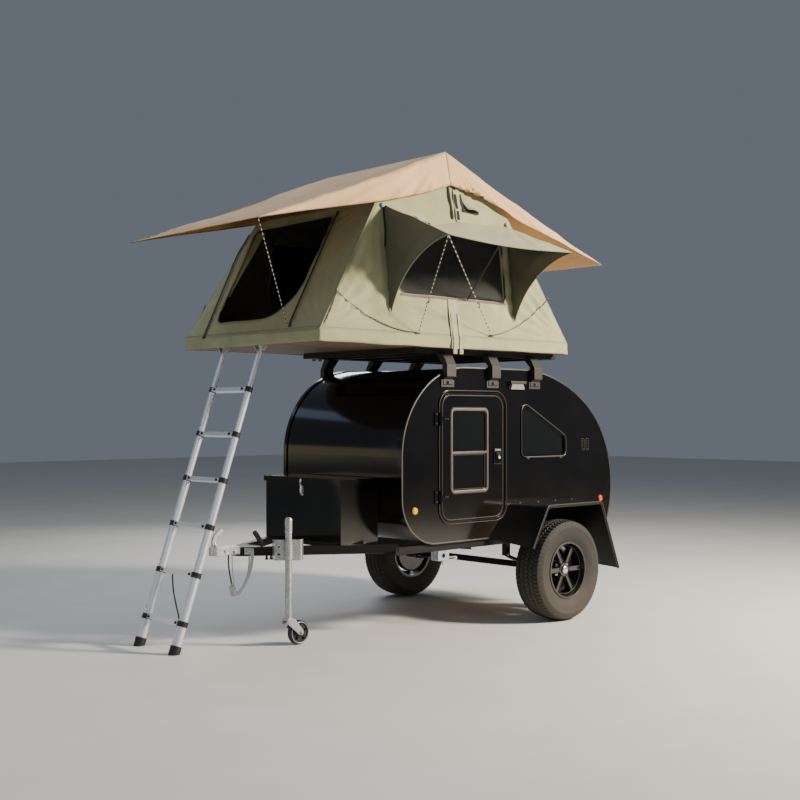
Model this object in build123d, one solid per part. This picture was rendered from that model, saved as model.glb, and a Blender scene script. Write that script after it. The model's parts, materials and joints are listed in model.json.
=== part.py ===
from build123d import *
from math import atan2, cos, degrees, hypot, radians, sin, sqrt, tan
import os

# Teardrop camping trailer with a roof tent and a telescopic ladder.
# Millimetres, +Z up, +X forward to the coupler, +Y to the left side.
# Everything is drawn with X measured from the axle, then moved by AXLE_X,
# so the origin lies on the ground under the middle of the whole outline.
AXLE_X = -968.0
AXLE_Y = -148.0

# Body: two flat side walls cut to the teardrop outline, skins between them.
BODY_HALF = 634.0
WALL_T = 30.0
SKIN_T = 30.0
SKIN_INSET = 8.0
BODY_BOTTOM = 610.0

# Arcs of the side outline, anticlockwise with X to the right and Z up.
# centre x, centre z, radius, start degrees, end degrees
SIDE_ARCS = (
    (1083.0, 935.0, 325.0, -90.0, 0.0),
    (788.0, 1210.0, 620.0, 0.0, 90.0),
    (194.0, 530.0, 1300.0, 90.0, 125.0),
    (-107.1, 960.0, 775.0, 125.0, 200.0),
    (-714.1, 739.1, 129.1, 200.0, 270.0),
)

# Doors
DOOR_X = (395.0, 1033.0)
DOOR_Z = (757.0, 1640.0)
DOOR_R = 90.0
DOOR_GAP = 6.0
DOOR_FRAME_W = 33.0
PANE_X = (561.0, 941.0)
PANE_Z = (949.0, 1542.0)
PANE_BAR_Z = 1230.0
HINGE_X = 1052.0
HINGE_Y = BODY_HALF + 18.0
HINGE_Z = (930.0, 1467.0)

# Three-cornered side window
QUARTER = ((200.0, 1180.0), (200.0, 1602.0), (-315.0, 1336.0), (-315.0, 1180.0))
QUARTER_R = 50.0

# Rear hatch
HATCH_X = -330.0
HATCH_LOW_Z = 766.0
HATCH_TURN = 113.93
HATCH_PIN_R = 4.0

# Running gear
TYRE_R = 366.0
TYRE_W = 240.0
RIM_R = 200.0
RIM_W = 190.0
HALF_TRACK = 815.0
SPOKES = 6
AXLE_R = 24.0
SPINDLE_R = 17.0

# Chassis
RAIL_Y = 590.0
RAIL_W = 50.0
RAIL_Z = (560.0, 610.0)
RAIL_X = (-700.0, 1440.0)
LEG_Z = (584.0, 634.0)
LEG_START = (2300.0, 16.0)
LEG_END = (1420.0, 590.0)
BALL_X = 2458.0
BALL_Z = 618.0
BALL_BORE_R = 25.2

# Front box
BOX_X = (1412.0, 1742.0)
BOX_HALF = 406.0
BOX_Z = (634.0, 1056.0)
BOX_T = 4.0
LID_TOP = 1067.0

# Nose jack
JACK_X = 2072.0
JACK_Y = 273.0
JACK_R = 22.5
JACK_TOP = 828.0
CASTER_R = 78.0
CASTER_TRAIL = 80.0

# Roof rack
RACK_LEGS_X = (975.0, 515.0, 55.0)
RACK_Z = (1914.0, 1954.0)
RACK_X = (-237.0, 1250.0)
RACK_RAIL_Y = 580.0

# Roof tent
TENT_X = (-209.0, 2197.0)
TENT_MID = 994.0
TENT_HALF = 738.0
TENT_BOTTOM = 1954.0
SKIRT_TOP = 2024.0
SHOULDER_X = 640.0
SHOULDER_HALF = 645.0
SHOULDER_Z = 2910.0
TENT_RIDGE_Z = 3225.0
TENT_RIDGE_HALF = 612.0
CANVAS_T = 8.0
DOORWAY = ((-470.0, 2150.0), (330.0, 2150.0), (270.0, 2840.0), (-600.0, 2830.0))
DOORWAY_BIG_R = 220.0
DOORWAY_R = 50.0
FLY_RIDGE_Z = 3311.0
FLY_RIDGE_HALF = 639.0
FLY_EAVE_X = 1656.0
FLY_EAVE_Z = 2664.0
FLY_EAVE_HALF = 719.0
FLY_T = 8.0
AWNING_EDGE_Y = 1250.0
AWNING_EDGE_Z = 2612.0
AWNING_TOP_Z = 2863.0
AWNING_X = (373.0, 1586.0)

# Ladder: centre line of the rails from the ground to the pivot
LADDER_FOOT_X = 2767.0
LADDER_PIVOT = (2102.5, 1935.0)
LADDER_Y = -199.0
LADDER_HALF = 206.0
RUNG_COUNT = 6
RUNG_FIRST_Z = 180.0
RUNG_STEP_Z = 296.0
RAIL_RADII = (30.0, 28.0, 26.0, 24.0, 22.0, 20.0, 18.0)


def block(x0, x1, y0, y1, z0, z1):
    """A box given by its two limits along each axis."""
    size = (x1 - x0, y1 - y0, z1 - z0)
    corner = (Align.MIN, Align.MIN, Align.MIN)
    return Pos(x0, y0, z0) * Box(*size, align=corner)


def slab(sketch, y0, y1):
    """A flat shape drawn in X and Z, solid from y0 to y1."""
    return extrude(Plane.XZ.offset(-y0) * sketch, amount=y1 - y0, dir=(0, 1, 0))


def bar(p, q, r):
    """A round bar of radius r from p to q."""
    line = Vector(*q) - Vector(*p)
    low = (Align.CENTER, Align.CENTER, Align.MIN)
    return Plane(origin=p, z_dir=line) * Cylinder(r, line.length, align=low)


def turned(points, axis_y=0.0):
    """A solid of revolution about a line along Y; points are (radius, y)."""
    face = make_face(Polyline(*[(r, y) for r, y in points], close=True))
    return Pos(0, axis_y, 0) * revolve(face, Axis.Y)


def both_sides(shape):
    """The shape and its mirror image across the middle plane."""
    return shape + mirror(shape, Plane.XZ)


def outline(inset=0.0):
    """The teardrop outline as a face in X and Z, drawn in by inset."""
    edges = []
    ends = []
    for cx, cz, r, a0, a1 in SIDE_ARCS:
        arc_points = []
        for a in (a0, (a0 + a1) / 2, a1):
            t = radians(a)
            arc_points.append((cx + (r - inset) * cos(t), cz + (r - inset) * sin(t)))
        edges.append(ThreePointArc(*arc_points))
        ends.append((arc_points[0], arc_points[2]))
    for k, (first, last) in enumerate(ends):
        start = ends[(k + 1) % len(ends)][0]
        if hypot(start[0] - last[0], start[1] - last[1]) > 0.5:
            edges.append(Line(last, start))
    return make_face(Wire.combine(edges, tol=0.5)[0])


def panel(x0, x1, z0, z1, r):
    """A rounded rectangle in X and Z."""
    middle = Pos((x0 + x1) / 2, (z0 + z1) / 2)
    return middle * RectangleRounded(x1 - x0, z1 - z0, r)


def ring(x, z, r, w):
    """A rounded frame of width w whose outer edge is x, z with radius r."""
    inner = panel(x[0] + w, x[1] - w, z[0] + w, z[1] - w, max(r - w, 8.0))
    return panel(*x, *z, r) - inner


parts = {}

# Side walls, with raised edge trim, openings for door and window, vent slots
INNER_Y = BODY_HALF - WALL_T
opening = panel(
    DOOR_X[0] - DOOR_GAP,
    DOOR_X[1] + DOOR_GAP,
    DOOR_Z[0] - DOOR_GAP,
    DOOR_Z[1] + DOOR_GAP,
    DOOR_R + DOOR_GAP,
)
quarter_face = make_face(Polyline(*QUARTER, close=True))
quarter_face = fillet(quarter_face.vertices(), QUARTER_R)
wall = slab(outline() - opening - offset(quarter_face, amount=-9), INNER_Y, BODY_HALF)
trim_ring = slab(outline() - outline(10), BODY_HALF, BODY_HALF + 5)
for vent_x in (-582.0, -532.0):
    slot = slab(Pos(vent_x, 1267) * SlotOverall(90, 34, rotation=90), BODY_HALF - 8, BODY_HALF + 1)
    wall = wall - slot
parts["wall_left"] = wall
parts["wall_right"] = mirror(wall, Plane.XZ)
parts["edge_trims"] = both_sides(trim_ring)
wall_side = wall + trim_ring

# Skins that follow the outline between the walls
skin = slab(outline(SKIN_INSET) - outline(SKIN_INSET + SKIN_T), -INNER_Y, INNER_Y)
front_zone = block(1083, 1500, -700, 700, 600, 1900) + block(HATCH_X, 1090, -700, 700, 1300, 1900)
parts["roof_shell"] = skin & front_zone
floor_zone = block(-714, 1083, -700, 700, 600, 660) + block(-900, -713, -700, 700, 600, 760)
parts["floor_pan"] = skin & floor_zone

# Rear hatch: the skin's rear part, a little narrower than the gap between the walls,
# hung on three knuckles just above the skin
hatch_cx, hatch_cz, hatch_r = SIDE_ARCS[2][:3]
hatch_r = hatch_r - SKIN_INSET + 10.0
HATCH_PIVOT = (
    hatch_cx + hatch_r * cos(radians(HATCH_TURN)),
    hatch_cz + hatch_r * sin(radians(HATCH_TURN)),
)
on_hinge = Pos(*HATCH_PIVOT) * Rot(0, 0, HATCH_TURN - 90)


def hinge_leaf(low, high, y0, y1):
    """A knuckle on the pivot line with a flat leaf lying on the skin."""
    flat = Pos((low + high) / 2, -6) * Rectangle(high - low, 12)
    return slab(on_hinge * (flat + Circle(8)), y0, y1)


def hatch_line(y0, y1, r):
    """A round bar on the pivot line."""
    return bar((HATCH_PIVOT[0], y0, HATCH_PIVOT[1]), (HATCH_PIVOT[0], y1, HATCH_PIVOT[1]), r)


hatch_skin = slab(outline(SKIN_INSET) - outline(SKIN_INSET + SKIN_T), -INNER_Y + 6, INNER_Y - 6)
hatch = hatch_skin & block(-900, HATCH_X - 6, -700, 700, HATCH_LOW_Z, 1900)
for y in (-400.0, 0.0, 400.0):
    hatch = hatch + hinge_leaf(-50, -4, y - 60, y + 60)
    for y0 in (y - 80, y + 62):
        parts["roof_shell"] = parts["roof_shell"] + hinge_leaf(4, 50, y0, y0 + 18)
hatch = hatch - hatch_line(-500, 500, HATCH_PIN_R + 0.08)
parts["roof_shell"] = parts["roof_shell"] + hatch_line(-480, 480, HATCH_PIN_R)
grip = slab(outline(-16) - outline(SKIN_INSET), -90, 90) & block(-920, -800, -100, 100, 1000, 1022)
hatch = hatch + grip
parts["rear_hatch"] = hatch

# Galley behind the bulkhead: bulkhead, counter and a shelf, fused as one cabinet
inside = slab(outline(SKIN_INSET + SKIN_T + 8), -INNER_Y, INNER_Y)
inside = inside + block(-690, 0, -INNER_Y, INNER_Y, 648, 680)
inside = inside + block(HATCH_X + 2, -200, -INNER_Y, INNER_Y, 1000, 1800)
inside = inside & slab(outline(SKIN_INSET + SKIN_T), -INNER_Y, INNER_Y)
bulkhead_x = HATCH_X + 4
cabinet = block(bulkhead_x, bulkhead_x + 18, -INNER_Y, INNER_Y, 600, 1900)
cabinet = cabinet + block(-760, bulkhead_x, -INNER_Y, INNER_Y, 1080, 1100)
cabinet = cabinet + block(-600, bulkhead_x, -INNER_Y, INNER_Y, 1330, 1345)
for y in (-200.0, 200.0):
    cabinet = cabinet + block(-700, bulkhead_x, y - 8, y + 8, 600, 1100)
parts["galley_cabinet"] = cabinet & inside
parts["cabin_mattress"] = block(-290, 1080, -590, 590, 648, 748)

# Door frames with the fixed half of each hinge
frame_ring = slab(
    ring(
        (DOOR_X[0] - DOOR_FRAME_W, DOOR_X[1] + DOOR_FRAME_W - 6),
        (DOOR_Z[0] - DOOR_FRAME_W + 11, DOOR_Z[1] + DOOR_FRAME_W - 5),
        DOOR_R + 27,
        DOOR_FRAME_W - DOOR_GAP - 6,
    ),
    BODY_HALF,
    BODY_HALF + 6,
)
frame_ring = frame_ring - slab(opening, BODY_HALF - 1, BODY_HALF + 7)
PIN_R = 5.0
for z in HINGE_Z:
    leaf_plate = block(HINGE_X, HINGE_X + 48, BODY_HALF, BODY_HALF + 8, z - 45, z + 45)
    for z0 in (z - 45, z + 20):
        leaf_plate = leaf_plate + bar((HINGE_X, HINGE_Y, z0), (HINGE_X, HINGE_Y, z0 + 25), 10)
        leaf_plate = leaf_plate + block(HINGE_X, HINGE_X + 10, BODY_HALF, HINGE_Y, z0, z0 + 25)
    leaf_plate = leaf_plate + bar((HINGE_X, HINGE_Y, z - 45), (HINGE_X, HINGE_Y, z + 45), PIN_R)
    leaf_plate = leaf_plate - block(
        HINGE_X - 12, HINGE_X + 12, BODY_HALF + 6.5, HINGE_Y - PIN_R - 0.1, z - 20, z + 20
    )
    frame_ring = frame_ring + leaf_plate

# Door leaf with its moving hinge halves and a paddle latch
leaf = slab(panel(*DOOR_X, *DOOR_Z, DOOR_R), INNER_Y + 1, BODY_HALF + 1)
pane_hole = panel(PANE_X[0] + 10, PANE_X[1] - 10, PANE_Z[0] + 10, PANE_Z[1] - 10, 30)
leaf = leaf - slab(pane_hole, INNER_Y - 5, BODY_HALF + 5)
for z in HINGE_Z:
    strap = block(HINGE_X - 75, HINGE_X, HINGE_Y - 4, HINGE_Y + 4, z - 17, z + 17)
    strap = strap + block(HINGE_X - 75, HINGE_X - 30, BODY_HALF, HINGE_Y + 4, z - 17, z + 17)
    strap = strap + bar((HINGE_X, HINGE_Y, z - 17), (HINGE_X, HINGE_Y, z + 17), 10)
    strap = strap - bar((HINGE_X, HINGE_Y, z - 30), (HINGE_X, HINGE_Y, z + 30), PIN_R + 0.08)
    leaf = leaf + strap
latch = slab(panel(424, 499, 1140, 1255, 12), BODY_HALF, BODY_HALF + 8)
paddle = slab(panel(436, 487, 1168, 1232, 8), BODY_HALF, BODY_HALF + 16)
leaf = leaf + latch + paddle
parts["door_left"] = leaf
parts["door_right"] = mirror(leaf, Plane.XZ)

window_frame = slab(ring(PANE_X, PANE_Z, 40, 15), BODY_HALF + 1, BODY_HALF + 9)
window_frame = window_frame + slab(
    pane_hole - panel(PANE_X[0] + 20, PANE_X[1] - 20, PANE_Z[0] + 20, PANE_Z[1] - 20, 20),
    INNER_Y + 4,
    BODY_HALF + 2,
)
window_frame = window_frame + block(
    PANE_X[0] + 15, PANE_X[1] - 15, BODY_HALF - 4, BODY_HALF + 7, PANE_BAR_Z - 9, PANE_BAR_Z + 9
)
door_glass = slab(
    panel(PANE_X[0] + 20, PANE_X[1] - 20, PANE_Z[0] + 20, PANE_Z[1] - 20, 20), BODY_HALF - 14, BODY_HALF - 8
)
parts["window_frame_left"] = window_frame
parts["window_frame_right"] = mirror(window_frame, Plane.XZ)
parts["door_glass_left"] = door_glass
parts["door_glass_right"] = mirror(door_glass, Plane.XZ)

# Three-cornered windows
quarter_frame = slab(quarter_face - offset(quarter_face, amount=-18), BODY_HALF, BODY_HALF + 8)
quarter_frame = quarter_frame + slab(
    offset(quarter_face, amount=-9) - offset(quarter_face, amount=-18), INNER_Y + 4, BODY_HALF + 1
)
parts["quarter_frames"] = both_sides(quarter_frame)
quarter_pane = slab(offset(quarter_face, amount=-18), BODY_HALF - 14, BODY_HALF - 8)
parts["quarter_glass"] = both_sides(quarter_pane)

# Small lamps on the sides
porch_lip = slab(panel(176, 342, 1722, 1738, 6), BODY_HALF, BODY_HALF + 34)
porch_lens = Polygon((184, 1680), (334, 1680), (318, 1722), (200, 1722), align=None)
porch = porch_lip + slab(porch_lens, BODY_HALF, BODY_HALF + 24)
parts["porch_lights"] = both_sides(porch)
amber = bar((1288, BODY_HALF, 848), (1288, BODY_HALF + 14, 848), 27)
parts["amber_markers"] = both_sides(amber)
red = bar((-740, BODY_HALF, 841), (-740, BODY_HALF + 14, 841), 27)
tail = block(-880, -820, 430, 560, 682, 736) - slab(outline(SKIN_INSET), 400, 600)
parts["red_lamps"] = both_sides(red + tail)

# Chassis: rails, cross members, A-frame, spring hangers
leg_dx = LEG_END[0] - LEG_START[0]
leg_dy = LEG_END[1] - LEG_START[1]
leg_turn = degrees(atan2(leg_dy, leg_dx))
leg_len = hypot(leg_dx, leg_dy)
leg = Pos(LEG_START[0], LEG_START[1], LEG_Z[0]) * Rot(0, 0, leg_turn) * block(
    -40, leg_len + 20, -25, 25, 0, LEG_Z[1] - LEG_Z[0]
)
leg = leg & block(1300, 2330, 0, 700, 500, 700)
rail = block(*RAIL_X, RAIL_Y - RAIL_W / 2, RAIL_Y + RAIL_W / 2, *RAIL_Z)
hangers = block(296, 336, RAIL_Y - 22, RAIL_Y + 22, 470, 562)
hangers = hangers + block(-336, -296, RAIL_Y - 22, RAIL_Y + 22, 470, 562)
frame = both_sides(leg + rail + hangers)
for x in (-700.0, -330.0, 330.0, 880.0, 1390.0):
    frame = frame + block(x, x + 50, -RAIL_Y, RAIL_Y, *RAIL_Z)
frame = frame + block(2240, 2330, -20, 20, LEG_Z[0], LEG_Z[1])
tip = Polygon((2330, 0), (2150, -100), (2150, 100), align=None)
frame = frame + extrude(Plane.XY.offset(LEG_Z[1] - 5) * tip, amount=5, dir=(0, 0, 1))
body_space = slab(outline(), -BODY_HALF - 10, BODY_HALF + 10)
parts["chassis_frame"] = frame - body_space

# Axle with spindles, springs
axle = bar((0, -690, TYRE_R), (0, 690, TYRE_R), AXLE_R)
spindle = bar((0, 680, TYRE_R), (0, 878, TYRE_R), SPINDLE_R)
spindle = spindle + bar((0, 690, TYRE_R), (0, 706, TYRE_R), 45)
axle = axle + both_sides(spindle)
parts["axle"] = axle

spring_arc = ThreePointArc((-318, 470), (0, TYRE_R + AXLE_R + 2), (318, 470))
upper_arc = ThreePointArc((-318, 484), (0, TYRE_R + AXLE_R + 24), (318, 484))
spring_ends = Line((318, 470), (318, 484)) + Line((-318, 484), (-318, 470))
spring_face = make_face(spring_arc + upper_arc + spring_ends)
spring = slab(spring_face, RAIL_Y - 25, RAIL_Y + 25)
for low, high in ((412, 424), (330, 340)):
    spring = spring + block(-60, 60, RAIL_Y - 32, RAIL_Y + 32, low, high)
for x in (-44.0, 44.0):
    for y in (RAIL_Y - 29, RAIL_Y + 29):
        spring = spring + bar((x, y, 326), (x, y, 428), 5)
hanger_space = both_sides(hangers)
parts["leaf_springs"] = both_sides(spring) - hanger_space - axle

# Wheels: tyre, and a six-spoke rim on the spindle
half = TYRE_W / 2
tyre_half = [
    (RIM_R, -RIM_W / 2 + 8),
    (RIM_R + 14, -RIM_W / 2 - 2),
    (262, -half + 6),
    (300, -half),
    (335, -half + 8),
    (356, -half + 20),
    (TYRE_R, -half + 42),
    (TYRE_R, half - 42),
    (356, half - 20),
    (335, half - 8),
    (300, half),
    (262, half - 6),
    (RIM_R + 14, RIM_W / 2 + 2),
    (RIM_R, RIM_W / 2 - 8),
    (RIM_R + 8, RIM_W / 2 - 22),
    (RIM_R + 8, -RIM_W / 2 + 22),
]
tyre = turned(tyre_half)
barrel = turned(
    [
        (RIM_R, -RIM_W / 2 + 8),
        (RIM_R + 8, -RIM_W / 2 + 2),
        (RIM_R + 8, -RIM_W / 2 - 4),
        (RIM_R - 8, -RIM_W / 2 - 4),
        (RIM_R - 12, -RIM_W / 2 + 20),
        (RIM_R - 30, 0),
        (RIM_R - 12, RIM_W / 2 - 20),
        (RIM_R - 8, RIM_W / 2 + 4),
        (RIM_R + 8, RIM_W / 2 + 4),
        (RIM_R + 8, RIM_W / 2 - 2),
        (RIM_R, RIM_W / 2 - 8),
        (RIM_R, RIM_W / 2 - 20),
        (RIM_R - 20, 8),
        (RIM_R - 20, -8),
        (RIM_R, -RIM_W / 2 + 20),
    ]
)
hub = turned(
    [
        (SPINDLE_R + 0.06, -88),
        (150, -88),
        (156, -80),
        (156, -44),
        (62, -40),
        (62, 30),
        (48, 62),
        (SPINDLE_R + 0.06, 62),
    ]
)
cap = turned([(0, 68), (22, 68), (28, 62), (SPINDLE_R, 62), (SPINDLE_R, 66), (0, 66)])
spokes = None
for k in range(SPOKES):
    turn = k * 360.0 / SPOKES
    arm_face = Polygon((55, 24), (178, 17), (178, 62), (55, 60), align=None)
    arm = extrude(Plane.XY.offset(-17) * arm_face, amount=34)
    arm = Rot(0, turn, 0) * arm
    spokes = arm if spokes is None else spokes + arm
rim = barrel + hub + spokes + cap
for side, name in ((1, "left"), (-1, "right")):
    spot = Pos(0, side * HALF_TRACK, TYRE_R)
    if side > 0:
        parts["tyre_" + name] = spot * tyre
        parts["rim_" + name] = spot * rim
    else:
        parts["tyre_" + name] = mirror(Pos(0, HALF_TRACK, TYRE_R) * tyre, Plane.XZ)
        parts["rim_" + name] = mirror(Pos(0, HALF_TRACK, TYRE_R) * rim, Plane.XZ)

# Fenders: a folded sheet between an inner line on the wall and an outer line
FENDER_T = 5.0
FENDER_LIP = 20.0
FENDER_R = 44.0
FENDER_OUT_Y = 954.0
FENDER_IN = ((560.0, 616.0), (322.0, 850.0), (-400.0, 850.0), (-620.0, 345.0))
FENDER_OUT = ((442.0, 560.0), (274.0, 850.0), (-347.0, 850.0), (-556.0, 339.0))


def corners_at(face, spots):
    """The corners of a face that lie on the given spots."""
    return face.vertices().filter_by(
        lambda v: any(abs(v.X - p.X) + abs(v.Y - p.Y) < 1 for p in spots)
    )


def folded(line, t):
    """A band of thickness t inside a bent line, as a face in X and Z."""
    pts = [Vector(x, z) for x, z in line]
    normals = []
    for a, b in zip(pts, pts[1:]):
        d = (b - a).normalized()
        normals.append(Vector(-d.Y, d.X))
    inner = []
    for k, p in enumerate(pts):
        near = normals[max(k - 1, 0)]
        mid = near + normals[min(k, len(normals) - 1)]
        inner.append(p + mid * (t / mid.dot(near)))
    loop = [(p.X, p.Y) for p in pts + inner[::-1]]
    face = make_face(Polyline(*loop, close=True))
    face = fillet(corners_at(face, pts[1:-1]), FENDER_R)
    return fillet(corners_at(face, inner[1:-1]), FENDER_R - t)


fender = loft(
    [
        Plane.XZ.offset(-BODY_HALF) * folded(FENDER_IN, FENDER_T),
        Plane.XZ.offset(-FENDER_OUT_Y) * folded(FENDER_OUT, FENDER_T),
    ],
    ruled=True,
)
fender = fender + slab(folded(FENDER_OUT, FENDER_LIP), FENDER_OUT_Y - 4, FENDER_OUT_Y)
fender_room = slab(Polygon(*FENDER_IN, align=None), BODY_HALF - 1, BODY_HALF + 60)
parts["fenders"] = both_sides(fender - wall_side)
parts["door_frames"] = both_sides(frame_ring - fender_room - fender)

# Coupler: pressed housing over the drawbar's tip, ball cup and hooked lever
housing_shape = Polygon(
    (2290, -50), (2372, -36), (BALL_X, -36), (BALL_X, 36), (2372, 36), (2290, 50), align=None
)
coupler = extrude(Plane.XY.offset(590) * housing_shape, amount=51, dir=(0, 0, 1))
coupler = coupler + bar((BALL_X, 0, 590), (BALL_X, 0, 646), 38)
coupler = coupler + bar((BALL_X, 0, 640), (BALL_X, 0, 660), 24)
for z in (604.0, 626.0):
    rib = block(2376, BALL_X - 34, -39, 39, z - 3, z + 3)
    coupler = coupler + rib
coupler = coupler - bar((BALL_X, 0, 580), (BALL_X, 0, 636), BALL_BORE_R)
parts["coupler"] = coupler - parts["chassis_frame"]
lever_shape = Polygon(
    (2452, 638),
    (2474, 638),
    (2482, 680),
    (2468, 716),
    (2414, 762),
    (2400, 744),
    (2448, 706),
    (2460, 678),
    align=None,
)
parts["coupler_lever"] = slab(lever_shape, -9, 9) - coupler

# Black grip and a pressed eye on the drawbar
grip_foot = bar((2160, 105, 630), (2173, 105, 668), 7) - parts["chassis_frame"]
grip_knob = bar((2174, 105, 670), (2216, 105, 727), 16)
grip_knob = grip_knob + Pos(2174, 105, 670) * Sphere(16) + Pos(2216, 105, 727) * Sphere(16)
parts["drawbar_grip"] = grip_foot + grip_knob
leg_slope = leg_dy / leg_dx
eye_y = LEG_START[1] + (2236 - LEG_START[0]) * leg_slope
at_eye = Pos(2236, eye_y, 0) * Rot(0, 0, leg_turn)
eye = at_eye * (block(-26, 26, -31, -25, 588, 630) + block(-9, 9, -45, -25, 600, 618))
parts["drawbar_eye"] = eye - coupler

# Front box and lid
LID_AXIS = (1427.0, 1058.0)
box = block(*BOX_X, -BOX_HALF, BOX_HALF, *BOX_Z)
box = box - block(
    BOX_X[0] + BOX_T,
    BOX_X[1] - BOX_T,
    -BOX_HALF + BOX_T,
    BOX_HALF - BOX_T,
    BOX_Z[0] + BOX_T,
    BOX_Z[1] + 10,
)
for y in (-270.0, 270.0):
    for y0 in (y - 45, y + 25):
        box = box + bar((LID_AXIS[0], y0, LID_AXIS[1]), (LID_AXIS[0], y0 + 20, LID_AXIS[1]), 8)
        box = box + block(BOX_X[0], LID_AXIS[0] + 8, y0, y0 + 20, 1020, LID_AXIS[1])
    box = box - block(BOX_X[0] - 1, BOX_X[0] + 40, y - 25, y + 25, 1044, 1070)
    box = box + bar((LID_AXIS[0], y - 45, LID_AXIS[1]), (LID_AXIS[0], y + 45, LID_AXIS[1]), 4)
parts["tongue_box"] = box
lid = block(1438, BOX_X[1] + 12, -BOX_HALF - 12, BOX_HALF + 12, 1030, LID_TOP)
lid = lid - block(1430, BOX_X[1] + 8, -BOX_HALF - 8, BOX_HALF + 8, 1020, LID_TOP - 5)
for y in (-270.0, 270.0):
    lug = bar((LID_AXIS[0], y - 22, LID_AXIS[1]), (LID_AXIS[0], y + 22, LID_AXIS[1]), 8)
    lug = lug + block(LID_AXIS[0], 1445, y - 22, y + 22, LID_TOP - 9, LID_TOP - 1)
    lug = lug - bar((LID_AXIS[0], y - 30, LID_AXIS[1]), (LID_AXIS[0], y + 30, LID_AXIS[1]), 4.08)
    lid = lid + lug
parts["tongue_box_lid"] = lid
toggle = block(BOX_X[1], BOX_X[1] + 9, -14, 14, 950, 1018)
toggle = toggle + block(BOX_X[1], BOX_X[1] + 15, -9, 9, 970, 990)
parts["box_latches"] = Pos(0, 250, 0) * toggle + Pos(0, -250, 0) * toggle

# Nose jack: clamp on the left leg, sliding tube, caster fork and wheel
CLAMP_Z = (548.0, 683.0)
leg_y = LEG_START[1] + (JACK_X - LEG_START[0]) * leg_slope
on_leg = Pos(JACK_X, leg_y, 0) * Rot(0, 0, leg_turn)
tube_x = (JACK_Y - leg_y) * sin(radians(leg_turn))
tube_y = (JACK_Y - leg_y) * cos(radians(leg_turn))
band = block(tube_x - 100, tube_x + 100, tube_y + 24, -25, *CLAMP_Z)
band = fillet(band.edges().filter_by(Axis.Z).group_by(Axis.Y)[0], 26)
band = band - block(tube_x - 94, tube_x + 94, tube_y + 30, 0, CLAMP_Z[0] - 1, CLAMP_Z[1] + 1)
for z in (588.0, 640.0):
    band = band - bar((tube_x - 62, tube_y, z), (tube_x - 62, tube_y + 40, z), 9)
for x in (tube_x - 60, tube_x + 52):
    band = band + block(x, x + 8, tube_y + 26, -25, 594, 626)
clamp = on_leg * band
clamp = clamp + bar((JACK_X, JACK_Y, CLAMP_Z[0] + 10), (JACK_X, JACK_Y, CLAMP_Z[1] - 6), JACK_R + 5)
clamp = clamp - bar((JACK_X, JACK_Y, 500), (JACK_X, JACK_Y, 800), JACK_R + 0.06)
parts["jack_clamp"] = clamp
leg_low = 2 * CASTER_R + 22
jack = bar((JACK_X, JACK_Y, leg_low), (JACK_X, JACK_Y, JACK_TOP - 18), JACK_R)
jack = jack + bar((JACK_X, JACK_Y, 734), (JACK_X, JACK_Y, JACK_TOP - 18), JACK_R + 2)
jack = jack + (
    Pos(JACK_X, JACK_Y, JACK_TOP - 18) * Sphere(JACK_R + 2)
    & block(JACK_X - 80, JACK_X + 80, JACK_Y - 80, JACK_Y + 80, JACK_TOP - 18, JACK_TOP)
)
parts["jack_leg"] = jack
caster_x = JACK_X - CASTER_TRAIL
fork = block(JACK_X - 26, JACK_X + 26, JACK_Y - 34, JACK_Y + 34, leg_low - 14, leg_low - 0.3)
cheek = Polygon(
    (JACK_X + 26, leg_low - 2),
    (JACK_X - 26, leg_low - 2),
    (caster_x - 16, CASTER_R + 14),
    (caster_x - 14, CASTER_R - 14),
    (caster_x + 14, CASTER_R - 14),
    (JACK_X + 26, leg_low - 34),
    align=None,
)
fork = fork + slab(cheek, JACK_Y - 34, JACK_Y - 28)
fork = fork + slab(cheek, JACK_Y + 28, JACK_Y + 34)
fork = fork + bar((caster_x, JACK_Y - 38, CASTER_R), (caster_x, JACK_Y + 38, CASTER_R), 7)
parts["jack_fork"] = fork
caster = turned([(7.06, -22), (30, -22), (36, -14), (58, -14), (62, -20), (72, -20), (CASTER_R, -12)]
                + [(CASTER_R, 12), (72, 20), (62, 20), (58, 14), (36, 14), (30, 22), (7.06, 22)])
for k in range(5):
    t = radians(72 * k)
    caster = caster - bar((46 * sin(t), -30, 46 * cos(t)), (46 * sin(t), 30, 46 * cos(t)), 11)
parts["jockey_wheel"] = Pos(caster_x, JACK_Y, CASTER_R) * caster

# Stabiliser sockets under the four corners: a boxed bracket with a drop tongue
SOCKET_X = 1014.0
SOCKET_Z = 528.0
bracket = panel(SOCKET_X - 53, SOCKET_X + 53, 494, 560, 8)
socket = slab(bracket, 570, 640) + block(SOCKET_X - 60, SOCKET_X + 60, RAIL_Y - 30, RAIL_Y + 24, 552, 560)
tongue = panel(SOCKET_X - 150, SOCKET_X - 40, 488, 514, 12) - panel(SOCKET_X - 132, SOCKET_X - 66, 496, 506, 4.5)
socket = socket + slab(tongue, 612, 624)
socket = socket + bar((SOCKET_X - 2, 628, 470), (SOCKET_X - 2, 628, 500), 8)
socket = socket - bar((SOCKET_X, 560, SOCKET_Z), (SOCKET_X, 660, SOCKET_Z), 16)
rear_socket = Pos(-650 - SOCKET_X, 0, 0) * socket
parts["stabiliser_sockets"] = both_sides(socket + rear_socket)

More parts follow.
